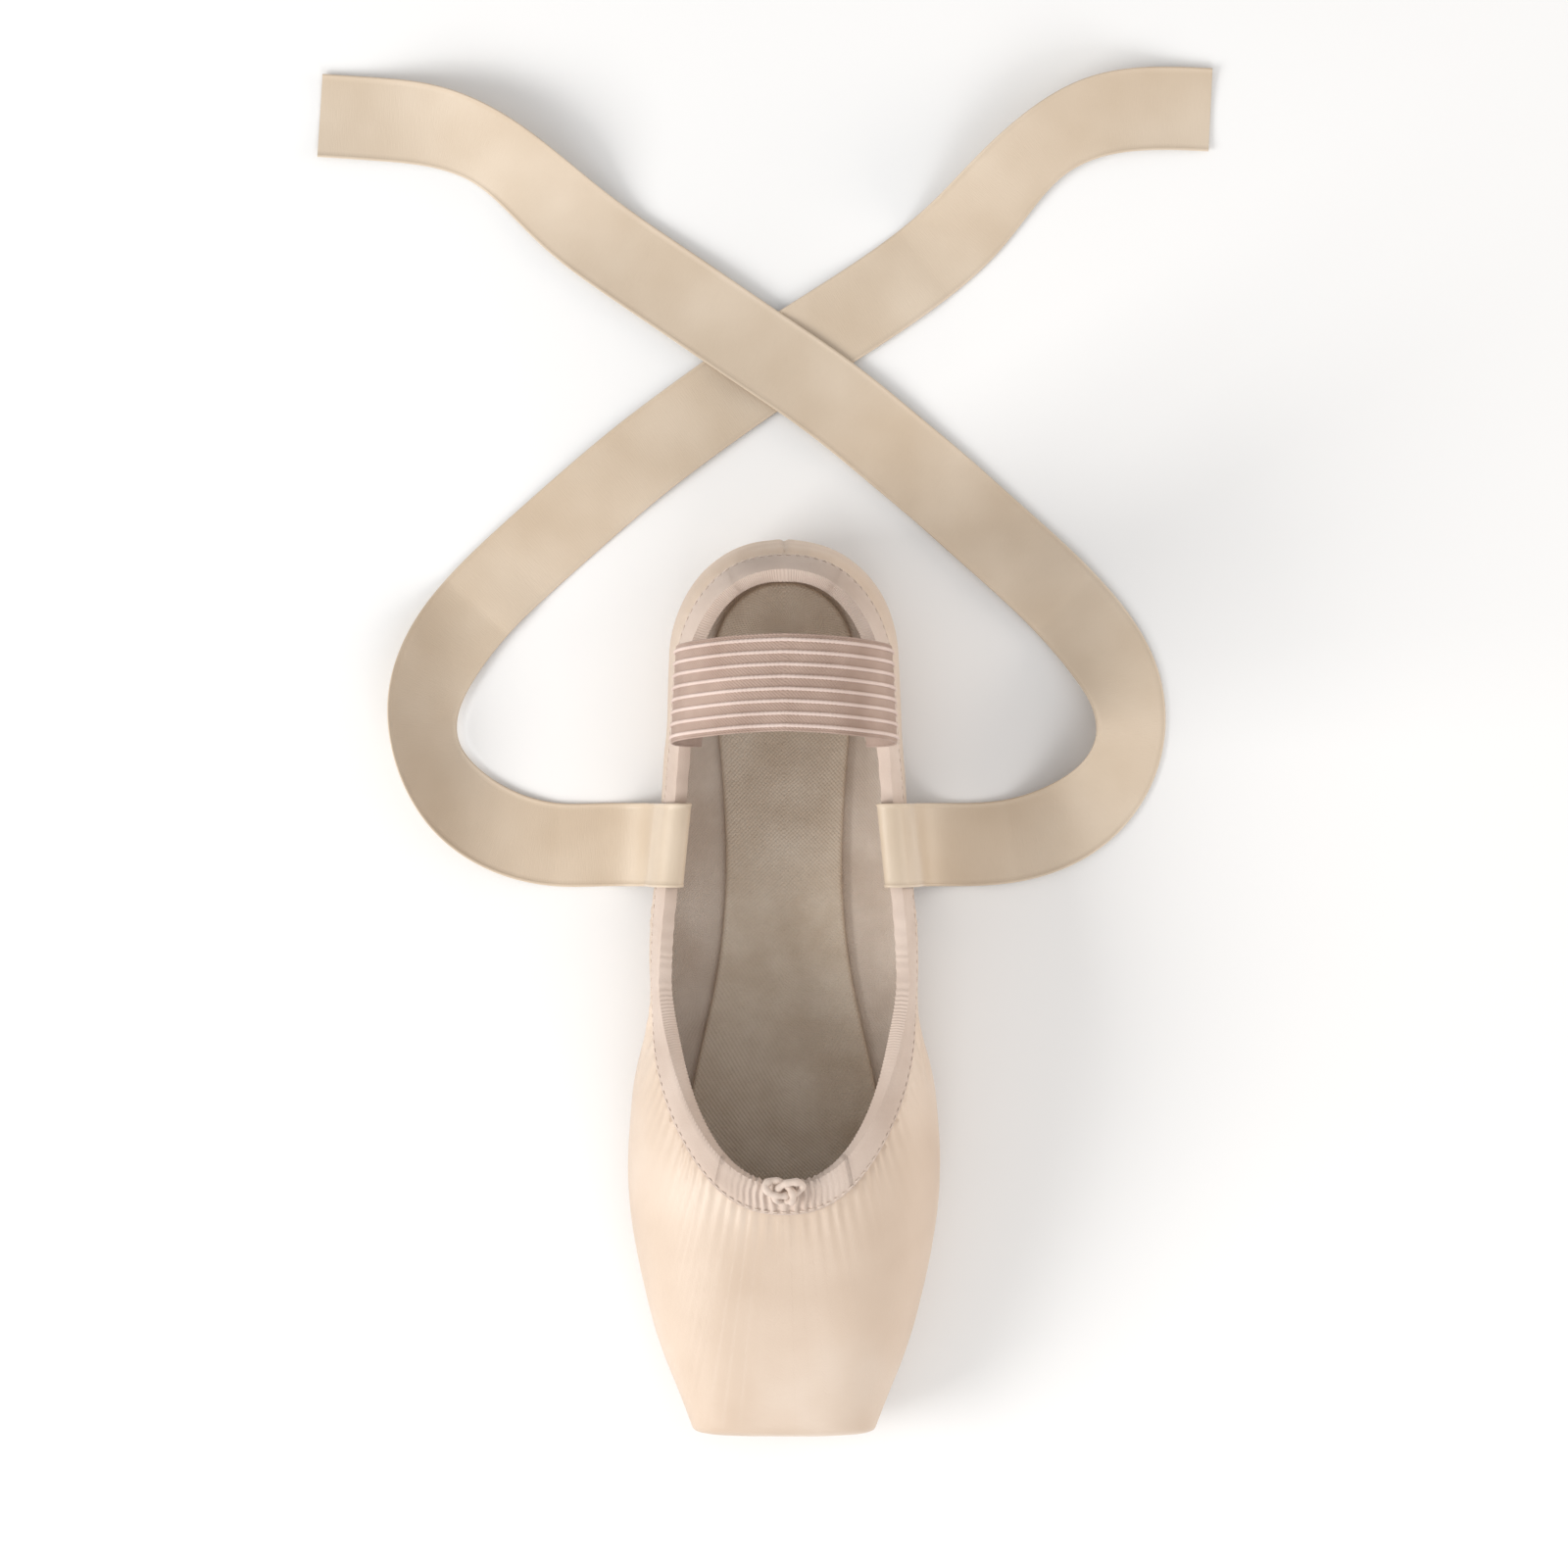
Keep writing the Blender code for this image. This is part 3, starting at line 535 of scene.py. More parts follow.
def column_ends(inset):
    """For each column of half the shell: its points on the hole, flat, outline and topline."""
    guide = outline(0)
    arcs = column_arcs(guide)
    sides = outline(inset)
    sides = points_at(sides, arcs / arc_lengths(guide)[-1] * arc_lengths(sides)[-1])
    tops = matched(topline, guide, arcs)
    flats = matched(underside_outline("flat", FLAT_ENDS), guide, arcs)
    holes = matched(underside_outline("hole", HOLE_ENDS), guide, arcs)
    return holes, flats, sides, inner_tops(points_at(guide, arcs), tops) if inset else tops


def lower_columns(holes, flats, sides, inset, rows):
    """The margin under the foot and the round of the wall up to the equator."""
    margin = np.linspace(0, 1, rows["margin"] + 1)[:-1, None]
    plan = holes[:, None] + (flats - holes)[:, None] * margin
    under = np.concatenate([plan, skin_base(plan[..., 0], inset)[..., None]], axis=2)
    turn = np.linspace(0, math.pi / 2, rows["lower"] + 1)[:-1]
    toe_part = np.interp(sides[:, 0], LOWER_TOE_ZONE, (0, 1))
    power = (LOWER_POWER + (LOWER_TOE_POWER - LOWER_POWER) * toe_part)[:, None]
    out = (np.sin(turn) ** (2 / power))[..., None]
    up = 1 - np.cos(turn) ** (2 / power)
    low = skin_base(flats[:, :1], inset)
    height = low + (equator(sides[:, :1]) - low) * up
    plan = flats[:, None] + (sides - flats)[:, None] * out
    return np.concatenate([under, np.concatenate([plan, height[..., None]], axis=2)], axis=1)


def wall_columns(sides, tops, inset, rows):
    """The wall and roof of each column, from the equator to the topline."""
    columns = []
    for line, rise in zip(roof_lines(sides, tops, inset), crown_rise(sides[:, 0])):
        total = arc_lengths(line)[-1]
        shoulder = min(SHOULDER_SHARE * total, rise)
        lower = np.linspace(0, shoulder, rows["wall"] + 1)
        upper = np.linspace(shoulder, total, rows["roof"] + 1)[1:]
        columns.append(points_at(line, np.concatenate([lower, upper])))
    return np.array(columns)


def skin(inset, rows):
    """One skin of the shell as a closed ring of columns, each from the hole to the topline."""
    holes, flats, sides, tops = column_ends(inset)
    low = lower_columns(holes, flats, sides, inset, rows)
    high = wall_columns(sides, tops, inset, rows)
    return whole_ring(np.concatenate([low, high], axis=1))


def topline_band(inset, depths):
    """A ring of skin points at set depths under the topline, measured along the skin."""
    _, _, sides, tops = column_ends(inset)
    grid = []
    for line in roof_lines(sides, tops, inset):
        grid.append(points_at(line, arc_lengths(line)[-1] - np.array(depths)))
    return whole_ring(np.array(grid))


def place(points):
    """Row-frame points of points given by their station."""
    return np.asarray(points) - (SHOE_LENGTH / 2, 0, 0)


def swell(points, size):
    """Soft random waves of about one size at each point, from -1 to 1."""
    return np.array([noise.noise(Vector(p)) for p in points.reshape(-1, 3) / size]).reshape(
        points.shape[:-1]
    )


def new_object(name, points, faces, uv, materials):
    """An object with one chart value for each corner of its faces."""
    mesh = bpy.data.meshes.new(name)
    mesh.from_pydata(points.tolist(), [], faces)
    layer = mesh.uv_layers.new(name="chart")
    values = np.zeros((len(mesh.loops), 2), np.float32)
    values[: len(uv)] = uv
    layer.data.foreach_set("uv", values.ravel())
    for material in materials:
        mesh.materials.append(material)
    thing = bpy.data.objects.new(name, mesh)
    bpy.context.scene.collection.objects.link(thing)
    return thing


def face_outwards(thing, sharp=55):
    """Turns a closed mesh's faces out and shades it smooth but for its sharp edges."""
    shape = bmesh.new()
    shape.from_mesh(thing.data)
    bmesh.ops.recalc_face_normals(shape, faces=shape.faces)
    shape.to_mesh(thing.data)
    shape.free()
    thing.data.shade_smooth()
    thing.data.set_sharp_from_angle(angle=math.radians(sharp))


def grid_object(name, grid, chart, materials, ring=False, caps=False):
    """A closed piece from a grid whose rows go round its section, and whose columns may too."""
    columns, rows = grid.shape[:2]
    i, j = np.meshgrid(np.arange(columns - (not ring)), np.arange(rows), indexing="ij")
    corners = ((i, j), (i, j + 1), (i + 1, j + 1), (i + 1, j))
    quads = np.stack([a % columns * rows + b % rows for a, b in corners], axis=-1)
    uv = np.stack([chart[a, b] for a, b in corners], axis=2)
    faces = quads.reshape(-1, 4).tolist()
    if caps:
        faces += [list(range(rows)), list(range((columns - 1) * rows, columns * rows))]
    thing = new_object(name, grid.reshape(-1, 3), faces, uv.reshape(-1, 2), materials)
    face_outwards(thing)
    return thing


def chart_of(grid, ring=False):
    """Distances along and across a grid, one row and one column longer than the grid."""
    closed = np.concatenate([grid, grid[:1] if ring else grid[-1:]])
    closed = np.concatenate([closed, closed[:, :1]], axis=1)
    middle = closed.shape[1] // 2
    along = arc_lengths(closed[:, middle])
    across = arc_lengths(closed)
    return np.stack([np.broadcast_to(along[:, None], across.shape), across], axis=2)


def mount(thing, slot, *nodes):
    """The piece rides on the shoe and hides the CAD parts of the nodes it stands for; the slot is not used.
    """
    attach(thing, "root")
    if nodes:
        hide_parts(*nodes)


def shell_places(grid, rows):
    """For the outer skin: distance round from the heel, up from the equator, down from the topline."""
    guide = outline(0)
    arcs = column_arcs(guide)
    count = len(arcs)
    around = np.concatenate([arcs, arcs[-2:0:-1]])[:, None]
    side = np.where(np.arange(len(grid)) < count, 1, -1)[:, None]
    lengths = arc_lengths(grid)
    up = lengths - lengths[:, [rows["margin"] + rows["lower"]]]
    return around, side, up, lengths[:, -1:] - lengths


def crease_depth(around, side, up):
    """How far the creases draw the satin in at each place of the outer skin."""
    depth = np.zeros(up.shape)
    for row in CREASES:
        crease = dict(zip(CREASE_COLUMNS, row))
        start = np.array((crease["round_a"], crease["up_a"]))
        run = np.array((crease["round_b"], crease["up_b"])) - start
        signed = np.where(side == crease["side"], around, -around)
        along = ((signed - start[0]) * run[0] + (up - start[1]) * run[1]) / (run @ run)
        away_round = signed - start[0] - np.clip(along, 0, 1) * run[0]
        away_up = up - start[1] - np.clip(along, 0, 1) * run[1]
        away = np.hypot(away_round, away_up) / crease["width"]
        body = np.sin(math.pi * np.clip(along * 0.8 + 0.1, 0, 1)) ** 0.8
        trough = np.exp(-(away**2)) - 0.35 * np.exp(-((away - 1.9) ** 2))
        depth += crease["depth"] * body * trough
    return depth


def seam_depth(around, up):
    """The grooves of the side seams and of the back seam."""
    part = np.clip((up + 0.012) / 0.035, 0, 1)
    side = around - (SIDE_SEAM[1] + (SIDE_SEAM[0] - SIDE_SEAM[1]) * part)
    groove = bell(side, SEAM_WIDTH) - 0.45 * bell(np.abs(side) - 0.0016, 0.0009)
    back = bell(around, SEAM_WIDTH) - 0.45 * bell(around - 0.0016, 0.0009)
    return SEAM_DEPTH * (groove + back)


def edge_rise(around, down):
    """The satin beside the binding: a rolled bead, with puckers that run out from it."""
    wander = np.sin(around * 2 * math.pi / 0.037) * 0.9
    wave = np.sin(around * 2 * math.pi / PUCKER_PITCH + wander)
    bead = BEAD_RISE * bell(down - BEAD_DEPTH, BEAD_WIDTH) * (1 + 0.30 * wave)
    fade = np.exp(-np.maximum(down - BEAD_DEPTH, 0) / PUCKER_FADE)
    tuck = -0.00025 * (1 - smooth(down, BINDING_OUTER_DEPTH - 0.001, BEAD_DEPTH - 0.0004))
    return bead + PUCKER_RISE * wave * fade * smooth(down, BINDING_OUTER_DEPTH, BEAD_DEPTH) + tuck


def pleat_rise(around, station, rows):
    """Pleats under the toe and gathers along the sole, beyond the outsole's edge."""
    guide = outline(0)
    arcs = column_arcs(guide)
    holes, flats, _, _ = column_ends(0)
    soles = matched(underside_outline("outsole", OUTSOLE_ENDS), guide, arcs)
    covered = np.linalg.norm(soles - holes, axis=1) / np.linalg.norm(flats - holes, axis=1)
    covered = np.concatenate([covered, covered[-2:0:-1]])[:, None]
    margin = np.linspace(0, 1, rows["margin"] + 1)[:-1]
    margin = np.concatenate([margin, np.ones(rows["lower"] + rows["wall"] + rows["roof"] + 1)])
    turn = np.concatenate(
        [np.zeros(rows["margin"]), np.linspace(0, 1, rows["lower"] + 1), np.ones(rows["wall"] + rows["roof"])]
    )
    shown = smooth(margin[None], covered - 0.05, covered + 0.25) * (1 - smooth(turn[None], 0.25, 0.95))
    phase = np.mod(around / PLEAT_PITCH + 0.06 * np.sin(around / 0.0037), 1)
    pleat = np.minimum(phase / 0.80, (1 - phase) / 0.20)
    pleat = pleat * pleat * (3 - 2 * pleat)
    gather = 0.5 + 0.5 * np.sin(around * 2 * math.pi / GATHER_PITCH + np.sin(around / 0.005))
    toe = smooth(station, PLEAT_START, PLEAT_FULL)
    return shown * (toe * PLEAT_DEPTH * pleat + (1 - toe) * GATHER_DEPTH * gather)


def add_upper(materials):
    """The satin outside with its creases, seams and pleats, and the cotton lining inside."""
    outer = skin(0, OUTER_ROWS)
    around, side, up, down = shell_places(outer, OUTER_ROWS)
    station = outer[:, OUTER_ROWS["margin"] + OUTER_ROWS["lower"]][:, :1]
    rise = edge_rise(around, down) + pleat_rise(around, station, OUTER_ROWS)
    loose = smooth(down, BEAD_DEPTH, BEAD_DEPTH + 0.004) * smooth(up, -0.014, -0.006)
    rise -= (crease_depth(around, side, up) + seam_depth(around, up)) * loose
    for size, height in SWELLS:
        rise += height * swell(outer, size) * loose
    outer = outer + outward_normals(outer) * rise[..., None]
    inner = skin(1, INNER_ROWS)
    section = place(np.concatenate([outer, inner[:, ::-1]], axis=1))
    chart = chart_of(section, ring=True)
    thing = grid_object("satin_upper", section, chart, materials, ring=True)
    rows = section.shape[1]
    row_of_face = np.tile(np.arange(rows), len(section))
    lining = (row_of_face >= outer.shape[1] - 1).astype(np.int32)
    thing.data.polygons.foreach_set("material_index", lining)
    mount(thing, "satin", "upper")


def resampled(ring, count):
    """A closed ring of columns again, evenly spaced along its first row."""
    closed = np.concatenate([ring, ring[:1]])
    along = arc_lengths(closed[:, 0])
    wanted = np.linspace(0, along[-1], count + 1)[:-1]
    flat = closed.reshape(len(closed), -1)
    out = np.column_stack([np.interp(wanted, along, flat[:, k]) for k in range(flat.shape[1])])
    return out.reshape(count, *ring.shape[1:])


def binding_surface():
    """The skin under the binding and its normals, from the outer edge over the rim and in."""
    outer_depths = np.linspace(BINDING_OUTER_DEPTH, 0, BINDING_ROWS["outer"])
    inner_depths = np.linspace(BINDING_INNER_DEPTH, 0, BINDING_ROWS["inner"])
    outer = topline_band(0, outer_depths)
    inner = topline_band(1, inner_depths)
    out = outward_normals(outer)
    into = -outward_normals(inner)
    over = unit(outer[:, -1] - outer[:, -2])
    middle = (outer[:, -1:] + inner[:, -1:]) / 2
    base = np.concatenate([outer, middle, inner[:, ::-1]], axis=1)
    lift = np.concatenate([out, over[:, None], into[:, ::-1]], axis=1)
    corner = len(outer_depths) - 1
    lift[:, corner] = unit(out[:, -1] + over)
    lift[:, corner + 2] = unit(into[:, -1] + over)
    return base, lift


def binding_profile(across, total):
    """Height of the binding over the skin across its width: turned edges and a round top."""
    edges = smooth(across, 0, TAPE_EDGE) * smooth(total - across, 0, TAPE_EDGE)
    groove = STITCH_GROOVE * bell(across - (BINDING_OUTER_DEPTH - STITCH_DEPTH), 0.0006)
    swollen = 0.00012 * bell(across - 0.45 * BINDING_OUTER_DEPTH, 0.002)
    return TAPE_GAP + (TAPE_LIFT - TAPE_GAP) * np.sqrt(edges) - groove + swollen


def binding_grid():
    """The binding's outer face with its ribs, its underside, and the distances over it."""
    base, lift = binding_surface()
    perimeter = arc_lengths(np.concatenate([base, base[:1]])[:, BINDING_ROWS["outer"]])[-1]
    count = int(perimeter / BINDING_STEP)
    both = resampled(np.concatenate([base, lift], axis=2), count)
    base = both[..., :3]
    lift = unit(both[..., 3:])
    around = np.linspace(0, perimeter, count + 1)[:-1, None]
    across = arc_lengths(base)
    ribs = round(perimeter / RIB_PITCH)
    slope = 1 / (RIB_PITCH * math.tan(math.radians(RIB_ANGLE)))
    wander = 0.35 * np.sin(around / 0.011) + 0.25 * np.sin(around / 0.0047)
    rib = np.cos(2 * math.pi * (ribs * around / perimeter - across * slope) + wander)
    shown = smooth(across, 0.0002, 0.0014)
    rise = binding_profile(across, across[:, -1:]) + RIB_HEIGHT * (rib - 1) * shown
    from_knot = np.abs(around - perimeter / 2)
    gather = np.cos(2 * math.pi * from_knot / KNOT_GATHERS["pitch"] + 0.8 * np.sin(across / 0.0011))
    strength = KNOT_GATHERS["height"] * np.exp(-((from_knot / KNOT_GATHERS["reach"]) ** 2))
    rise += strength * (gather - 0.6) * shown
    face = base + lift * rise[..., None]
    steps = np.linspace(base.shape[1] - 1, 0, BINDING_ROWS["under"]).astype(int)
    under = base[:, steps] + lift[:, steps] * TAPE_GAP * 0.6
    return np.concatenate([face, under], axis=1), base, lift


def add_binding(material, thread):
    """The ribbed drawstring casing folded over the topline, and its row of stitches."""
    grid, base, lift = binding_grid()
    grid = place(grid)
    thing = grid_object("binding_tape", grid, chart_of(grid, ring=True), [material], ring=True)
    mount(thing, "binding_tape", "binding")
    row = int(round((1 - STITCH_DEPTH / BINDING_OUTER_DEPTH) * (BINDING_ROWS["outer"] - 1)))
    line = base[:, row] + lift[:, row] * (TAPE_LIFT - STITCH_GROOVE)
    stitches = stitch_row(np.concatenate([line, line[:1]]), lift[:, row], STITCH_PITCH, STITCH_LENGTH)
    add_stitches("binding_stitches", [stitches], thread, "binding_tape")


def stitch_row(line, normals, pitch, length):
    """Middles, directions and normals of stitches evenly spaced along a line."""
    along = arc_lengths(line)
    count = int(along[-1] / pitch)
    middles = (np.arange(count) + 0.5) * along[-1] / count
    places = points_at(line, middles)
    ahead = points_at(line, middles + length / 2) - points_at(line, middles - length / 2)
    keys = np.linspace(0, along[-1], len(normals))
    faces = np.column_stack([np.interp(middles, keys, normals[:, k]) for k in range(3)])
    return places, unit(ahead), unit(faces), length


def add_stitches(name, rows, material, slot, radius=THREAD_RADIUS, sides=6, rings=7):
    """Rows of stitches as one mesh: each is a short thread that dips in at both ends."""
    part = np.linspace(-1, 1, rings)
    width = np.sqrt(np.maximum(1 - np.abs(part) ** 4, 0.02)) * radius
    turn = np.arange(sides) * 2 * math.pi / sides
    grids = []
    for places, ahead, faces, length in rows:
        beside = np.cross(faces, ahead)
        middle = places[:, None] + ahead[:, None] * (part * length / 2)[:, None]
        middle = middle + faces[:, None] * (radius * (0.9 - 2.2 * part**4))[:, None]
        out = beside[:, None] * np.cos(turn)[:, None] + faces[:, None] * np.sin(turn)[:, None]
        grids.append(middle[:, :, None] + out[:, None] * width[:, None, None])
    grid = place(np.concatenate(grids))
    count = len(grid)
    i, j = np.meshgrid(np.arange(rings - 1), np.arange(sides), indexing="ij")
    quad = np.stack([i * sides + j, i * sides + (j + 1) % sides], axis=-1)
    quad = np.concatenate([quad, quad[..., ::-1] + sides], axis=-1).reshape(-1, 4)
    starts = (np.arange(count) * rings * sides)[:, None, None]
    faces = (quad + starts).reshape(-1, 4).tolist()
    for start in range(0, count * rings * sides, rings * sides):
        faces.append([start + k for k in range(sides)])
        faces.append([start + (rings - 1) * sides + k for k in range(sides)])
    thing = new_object(name, grid.reshape(-1, 3), faces, np.zeros((0, 2)), [material])
    face_outwards(thing)
    mount(thing, slot)


def tube_grid(line, radius, sides):
    """Rings of points round a line, with a radius for each of its points."""
    ahead = unit(np.gradient(line, axis=0))
    up = np.broadcast_to((0.0, 0.0, 1.0), line.shape)
    beside = unit(np.cross(ahead, up) + 1e-9)
    above = np.cross(beside, ahead)
    turn = np.arange(sides) * 2 * math.pi / sides
    ring = beside[:, None] * np.cos(turn)[:, None] + above[:, None] * np.sin(turn)[:, None]
    return line[:, None] + ring * np.broadcast_to(radius, len(line))[:, None, None]


def knot_line():
    """The middle line of the flattened overhand knot, its ends turned down to the slit."""
    t = np.linspace(0.16, 2 * math.pi - 0.16, 150)
    x = np.cos(t) + 2 * np.cos(2 * t)
    y = np.sin(t) - 2 * np.sin(2 * t)
    z = -np.sin(3 * t)
    loops = np.column_stack([x, y, z]) * KNOT_SPREAD
    ends = smooth(np.abs(t - math.pi), 0.84 * math.pi, 0.96 * math.pi)
    loops[:, 2] -= 0.0022 * ends
    loops[:, 0] -= 0.0006 * ends
    tilt = math.radians(KNOT_TILT)
    turned = loops.copy()
    turned[:, 0] = loops[:, 0] * math.cos(tilt) + loops[:, 2] * math.sin(tilt)
    turned[:, 2] = loops[:, 2] * math.cos(tilt) - loops[:, 0] * math.sin(tilt)
    return turned + KNOT_PLACE


def add_knot(material):
    """The drawstring's knot at the throat."""
    line = knot_line()
    along = arc_lengths(line)
    radius = KNOT_RADIUS * (1 + 0.10 * np.sin(along / 0.00042) + 0.08 * np.sin(along / 0.0013))
    grid = tube_grid(line, radius, 14)
    thing = grid_object("knotted_drawstring", grid, chart_of(grid), [material], caps=True)
    mount(thing, "binding_tape", "drawstring_knot")


def plate_grid(name, ends, edge, base, count, crown):
    """A thin plate over an outline as a ring of columns, each up its edge and in to the middle."""
    half = underside_outline(name, ends)
    line = points_at(half, np.linspace(0, 1, count) * arc_lengths(half)[-1])
    tangent = unit(np.gradient(line, axis=0))
    inward = np.column_stack([tangent[:, 1], -tangent[:, 0]])
    spine = np.column_stack([np.clip(line[:, 0], ends[0] + 0.016, ends[1] - 0.016), 0 * line[:, 1]])
    rows = []
    for inset, height, part in edge:
        plan = line + inward * inset
        plan = plan + (spine - plan) * part
        plan[0, 1] = plan[-1, 1] = 0
        level = base(plan[:, 0]) + height + crown(plan[:, 0], plan[:, 1], part)
        rows.append(np.column_stack([plan, level]))
    return whole_ring(np.array(rows).transpose(1, 0, 2))


def plate_edge(thickness, rounding, steps, groove=None):
    """Rows of a plate's section: in-set, height and share of the way in to the middle."""
    under = [(rounding, 0.0, 1 - (k / steps) ** 1.3) for k in range(steps)]
    turn = np.linspace(-math.pi / 2, math.pi / 2, 9)
    round_edge = [
        (rounding * (1 - math.cos(a)), thickness / 2 * (1 + math.sin(a)), 0.0) for a in turn
    ]
    over = [(rounding, thickness, ((k + 1) / steps) ** 1.3) for k in range(steps)]
    return under + round_edge + over


def add_outsole(material, thread):
    """The leather sole with a stitched channel round its underside."""

    def channel(station, y, part):
        reach = np.interp(part, (0, 1), (0, 1))
        return 0.00045 * bell(reach - 0.16, 0.028)

    edge = plate_edge(OUTSOLE_THICKNESS, 0.0007, 34)
    grid = plate_grid("outsole", OUTSOLE_ENDS, edge, floor_line, 260, lambda u, y, part: 0 * u)
    under = np.arange(34)
    part = np.array([edge[k][2] for k in under])
    grid[:, under, 2] += channel(0, 0, part)[None]
    grid[:, :, 2] += 0.00006 * swell(grid, 0.004) * (np.arange(len(edge)) < 34)
    grid[:, :, 2] = np.maximum(grid[:, :, 2], 0.00002)
    grid = place(grid)
    thing = grid_object("leather_outsole", grid, chart_of(grid, ring=True), [material], ring=True)
    mount(thing, "sole_leather", "outsole")
    row = int(np.argmin(np.abs(part - 0.16)))
    line = grid[:, row] + (SHOE_LENGTH / 2, 0, 0)
    line = np.concatenate([line, line[:1]])
    down = np.tile((0.0, 0.0, -1.0), (len(line), 1))
    add_stitches("outsole_stitches", [stitch_row(line, down, 0.0036, 0.0025)], thread, "sole_leather")


def insole_base(station):
    return skin_base(station, 1) + GAP


def add_insole(material):
    """The canvas-covered insole, a little dished."""

    def dish(station, y, part):
        return 0.0004 * (1 - part) ** 2 + 0 * station

    edge = plate_edge(INSOLE_THICKNESS - 0.0004, 0.0010, 26)
    grid = plate_grid("insole", INSOLE_ENDS, edge, insole_base, 220, dish)
    grid[:, 30:, 2] += 0.00012 * swell(grid[:, 30:], 0.011)
    grid = place(grid)
    thing = grid_object("canvas_insole", grid, chart_of(grid, ring=True), [material], ring=True)
    mount(thing, "sock_canvas", "insole")


def strip_frame(centres, across):
    """Width directions square to the line, and the strip's face normals."""
    tangent = unit(np.gradient(centres, axis=0))
    across = unit(across - tangent * np.sum(across * tangent, axis=1, keepdims=True))
    return across, np.cross(tangent, across)


def elastic_route():
    """Centres and width directions of the elastic over the ankle."""
    half = np.array(ELASTIC_ARCH)
    along = arc_lengths(half[:, 1:])
    curves = [curve_through(along, half[:, k]) for k in range(3)]
    arcs = np.arange(0, along[-1], ELASTIC_STEP)
    left = np.column_stack([curve(arcs) for curve in curves])
    crown = np.array([[curve(along[-1]) for curve in curves]])
    centres = np.concatenate([left, crown, left[::-1] * (1, -1, 1)])
    turn = math.radians(ELASTIC_TURN) * np.linspace(1, -1, len(centres))
    across = np.column_stack([np.cos(turn), np.sin(turn), np.zeros(len(turn))])
    return centres, *strip_frame(centres, across)


def add_elastic(net, cord, thread):
    """The ankle elastic: a net band, its raised cords and the stitches of its sewn ends."""
    centres, across, face = elastic_route()
    outward = face * np.sign(np.sum(face * (centres - (0.042, 0, 0.060)), axis=1, keepdims=True))
    section = np.array(strip_section(ELASTIC_WIDTH, NET_THICKNESS / 2, NET_THICKNESS / 2, 0.0006, 12))
    sampled = slice(None, None, 4)
    grid = strip_grid(centres[sampled], across[sampled], outward[sampled], section)
    grid = place(grid)
    band = grid_object("elastic_net", grid, chart_of(grid), [net], caps=True)
    mount(band, "elastic_net", "ankle_elastic")
    along = arc_lengths(centres)
    spacing = ELASTIC_WIDTH / ELASTIC_CORDS
    for k in range(ELASTIC_CORDS):
        offset = (k + 0.5) * spacing - ELASTIC_WIDTH / 2
        line = centres + across * offset + outward * (NET_THICKNESS / 2 + 0.0001)
        knuckle = np.abs(np.sin(math.pi * along / ELASTIC_KNUCKLE + 0.9 * k))
        radius = ELASTIC_CORD_RADIUS * (0.72 + 0.28 * knuckle**0.7)
        ends = np.minimum(along, along[-1] - along)
        radius = radius * (0.35 + 0.65 * smooth(ends, 0, 0.0012))
        tube = place(cord_grid(line, across, outward, radius, 8))
        piece = grid_object(f"elastic_cord_{k + 1}", tube, chart_of(tube), [cord], caps=True)
        mount(piece, "elastic_net")
    add_sewn_ends(centres, across, outward, thread)


def cord_grid(line, across, outward, radius, sides):
    """Rings of a raised cord along a strip."""
    turn = np.arange(sides) * 2 * math.pi / sides
    ring = across[:, None] * np.cos(turn)[:, None] + outward[:, None] * np.sin(turn)[:, None]
    return line[:, None] + ring * radius[:, None, None]


def add_sewn_ends(centres, across, outward, thread):
    """A box of stitches at each sewn end of the elastic, on the side that faces in."""
    along = arc_lengths(centres)
    inward = -outward
    surface = centres + inward * NET_THICKNESS / 2
    rows = []
    for from_end in (along, along[-1] - along):
        inner = (from_end > 0.0015) & (from_end < ELASTIC_SEWN)
        for offset in (-0.0105, 0.0, 0.0105):
            line = (surface + across * offset)[inner]
            rows.append(stitch_row(line, inward[inner], 0.0021, 0.0015))
        for level in (0.0015, ELASTIC_SEWN):
            k = int(np.argmin(np.abs(from_end - level)))
            spread = np.linspace(-0.0105, 0.0105, 30)[:, None]
            line = surface[k] + across[k] * spread
            rows.append(stitch_row(line, np.tile(inward[k], (30, 1)), 0.0021, 0.0015))
    add_stitches("elastic_stitches", rows, thread, "elastic_net")


def strip_section(width, thickness, edge_thickness, edge_width, steps):
    """A strip's section: distances across and over its middle, round from one edge to the other."""
    inner = width / 2 - edge_width
    flat = [(x, thickness) for x in np.linspace(-inner, inner, steps)]
    turn = np.linspace(math.pi, 0, 7)
    bead = [
        (edge_width / 2 * math.cos(a), edge_thickness * max(math.sin(a), 0) ** 0.7) for a in turn
    ]
    left = [(x - inner - edge_width / 2, max(z, 0)) for x, z in bead[:-1]]
    right = [(x + inner + edge_width / 2, max(z, 0)) for x, z in bead[1:]]
    top = left + flat + right
    return top + [(x, -z) for x, z in top[-2:0:-1]]


def strip_grid(centres, across, face, section):
    """Columns of section points along a strip."""
    over = across[:, None] * section[:, 0][:, None] + face[:, None] * section[:, 1][:, None]
    return centres[:, None] + over


def ribbon_rows(floor_rows, side):
    """All rows of a ribbon's route, as station, y, height and lean."""
    rows = [(RIBBON_STATION, side * y, height - RIBBON_BED, 0) for y, height in COLLAR_ROUTE]
    return rows + [(x + SHOE_LENGTH / 2, y, lift, lean) for x, y, lift, lean in floor_rows]


